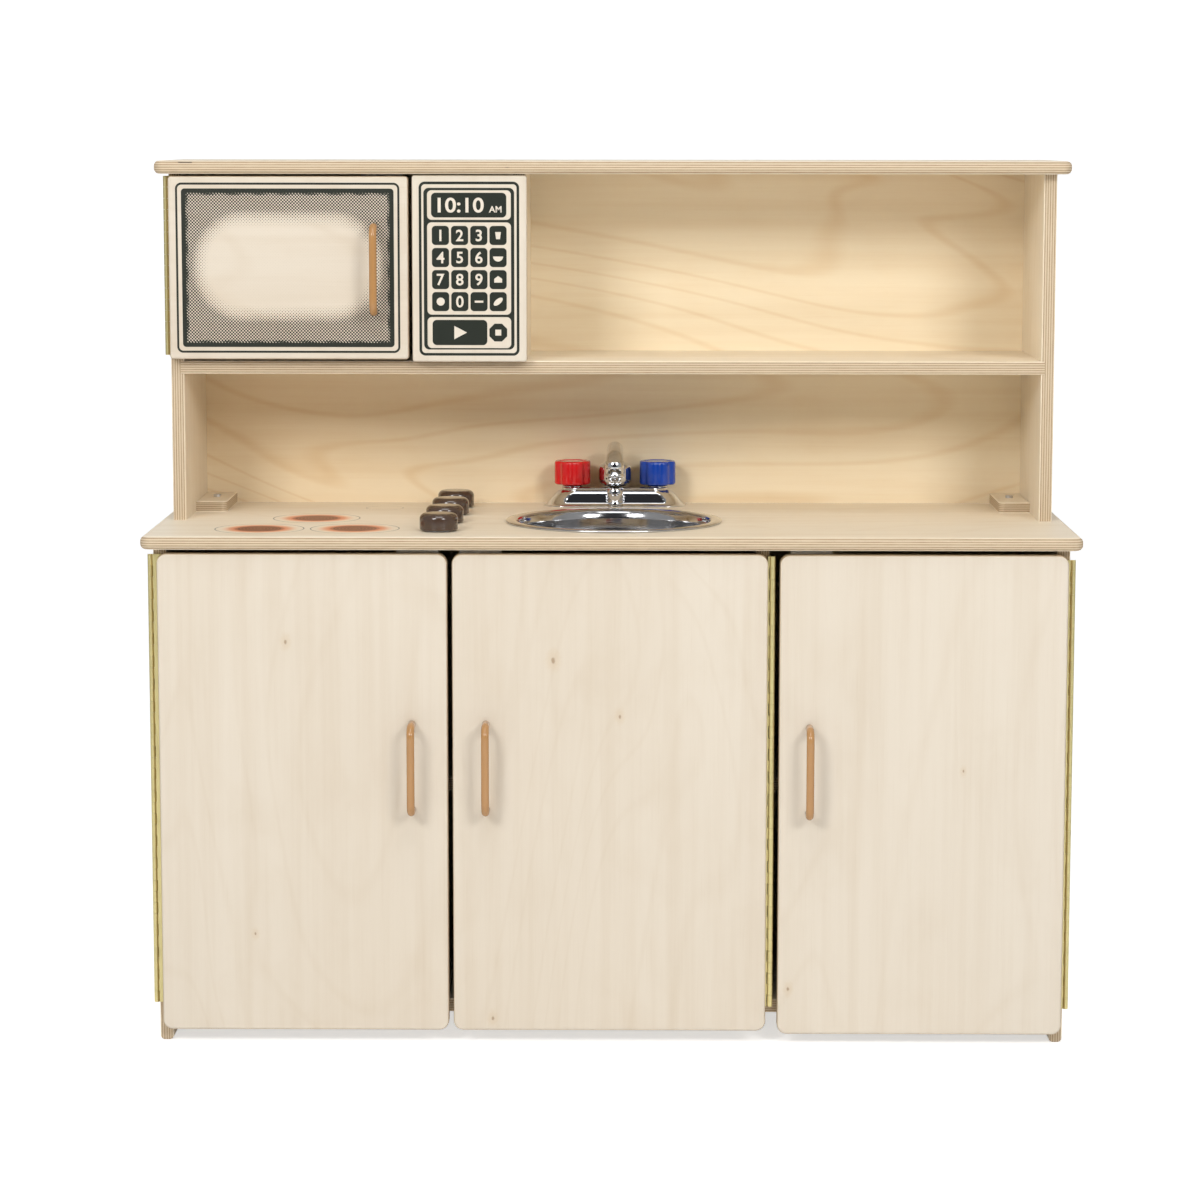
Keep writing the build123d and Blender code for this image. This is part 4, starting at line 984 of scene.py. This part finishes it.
class KITCHEN_OT_stage(bpy.types.Operator):
    """Set the floor, the lights and the camera"""
    bl_idname = "kitchen.stage"
    bl_label = "Stage"

    def execute(self, context):
        self.make_floor()
        world = bpy.data.worlds.new("studio")
        context.scene.world = world
        world.use_nodes = True
        background = world.node_tree.nodes["Background"]
        sky = Nodes(world.node_tree)
        toward = sky.split(sky.new("ShaderNodeTexCoord").outputs["Generated"])
        dark = sky.step(sky.add(toward[1], sky.times(sky.size(toward[0]), 1.1)), -0.75, 0.10)
        sky.feed(background.inputs["Color"], sky.mix(dark, (0.10, 0.10, 0.11, 1.0), (1.15, 1.15, 1.15, 1.0)))
        background.inputs["Strength"].default_value = 0.32
        for name, place, aim, size, power in (("key_light", (-1.9, -3.6, 2.5), (0, 0, 0.6), 1.2, 76.0),
                ("fill_light", (2.0, -3.6, 2.4), (0, 0, 0.6), 1.2, 68.0),
                ("top_light", (0.0, -1.6, 3.2), (0, 0, 0.5), 1.8, 36.0)):
            self.make_light(name, place, aim, size, power)
        camera = bpy.data.objects.new("camera", bpy.data.cameras.new("camera"))
        camera.data.sensor_width = 36.0
        camera.data.lens = 106.0
        camera.location = (0.0251, -4.0386, 1.0099)
        camera.rotation_euler = np.radians((82.544, -0.04, 0.557))
        context.scene.collection.objects.link(camera)
        context.scene.camera = camera
        context.scene.view_settings.view_transform = "Standard"
        return {"FINISHED"}

    def make_light(self, name, place, aim, size, power):
        """A square soft light that looks at a point."""
        data = bpy.data.lights.new(name, "AREA")
        data.size, data.energy = size, power
        light = bpy.data.objects.new(name, data)
        light.location = place
        direction = light.location - type(light.location)(aim)
        light.rotation_euler = direction.to_track_quat("Z", "Y").to_euler()
        bpy.context.scene.collection.objects.link(light)

    def make_floor(self):
        """Pale floor that curves up into a backdrop: flat, then a quarter circle, then straight up."""
        curve = arc((3.0, 1.5), 1.5, -90, 0, 24)
        profile = join((-6.0, 0.0), curve, (4.5, 6.0))
        width = np.array([-7.0, 7.0])
        points = np.array([[(x, y, z - 0.0002) for x in width] for y, z in profile]).reshape(-1, 3)
        row = np.arange(len(profile) - 1) * 2
        faces = np.stack([row, row + 1, row + 3, row + 2], axis=-1).tolist()
        mesh = bpy.data.meshes.new("studio_floor")
        mesh.from_pydata(points.tolist(), [], faces)
        mesh.polygons.foreach_set("use_smooth", np.full(len(mesh.polygons), True))
        floor = bpy.data.objects.new("studio_floor", mesh)
        bpy.context.scene.collection.objects.link(floor)
        material, n, shader, position = new_material("pale_floor", Roughness=0.9)
        cloud = n.noise(position, 1.5, 2.0)
        n.feed(shader.inputs["Base Color"], n.mix(cloud, (0.88, 0.88, 0.88, 1.0), (0.93, 0.93, 0.93, 1.0)))
        shader.inputs["Emission Color"].default_value = (1.0, 1.0, 1.0, 1.0)
        seen = n.new("ShaderNodeLightPath").outputs["Is Camera Ray"]
        n.feed(shader.inputs["Emission Strength"], n.add(0.06, n.times(seen, 0.5)))
        mesh.materials.append(material)


OPERATORS = (KITCHEN_OT_stage, KITCHEN_OT_plywood, KITCHEN_OT_hardware, KITCHEN_OT_handles, KITCHEN_OT_sink,
    KITCHEN_OT_tap, KITCHEN_OT_hob_knobs, KITCHEN_OT_keypad_digits)


class KITCHEN_PT_panel(bpy.types.Panel):
    """Buttons for every group of pieces"""
    bl_idname = "KITCHEN_PT_panel"
    bl_label = "Toy Kitchen"
    bl_space_type = "VIEW_3D"
    bl_region_type = "UI"
    bl_category = "Toy Kitchen"

    def draw(self, context):
        for operator in OPERATORS:
            self.layout.operator(operator.bl_idname)
        for settings in (context.scene.kitchen_sizes, context.scene.kitchen_colours):
            for name in settings.bl_rna.properties.keys():
                if name not in ("rna_type", "name"):
                    self.layout.prop(settings, name)


CLASSES = (KitchenSizes, KitchenColours, *OPERATORS, KITCHEN_PT_panel)


def register():
    """Register the classes and hang the settings on the scene."""
    for item in CLASSES:
        bpy.utils.register_class(item)
    bpy.types.Scene.kitchen_sizes = PointerProperty(type=KitchenSizes)
    bpy.types.Scene.kitchen_colours = PointerProperty(type=KitchenColours)


def unregister():
    """Take everything back out."""
    del bpy.types.Scene.kitchen_colours
    del bpy.types.Scene.kitchen_sizes
    for item in reversed(CLASSES):
        bpy.utils.unregister_class(item)


def main():
    """Build every piece in order."""
    register()
    for operator in OPERATORS:
        category, name = operator.bl_idname.split(".")
        getattr(getattr(bpy.ops, category), name)()


if __name__ == "__main__":
    main()
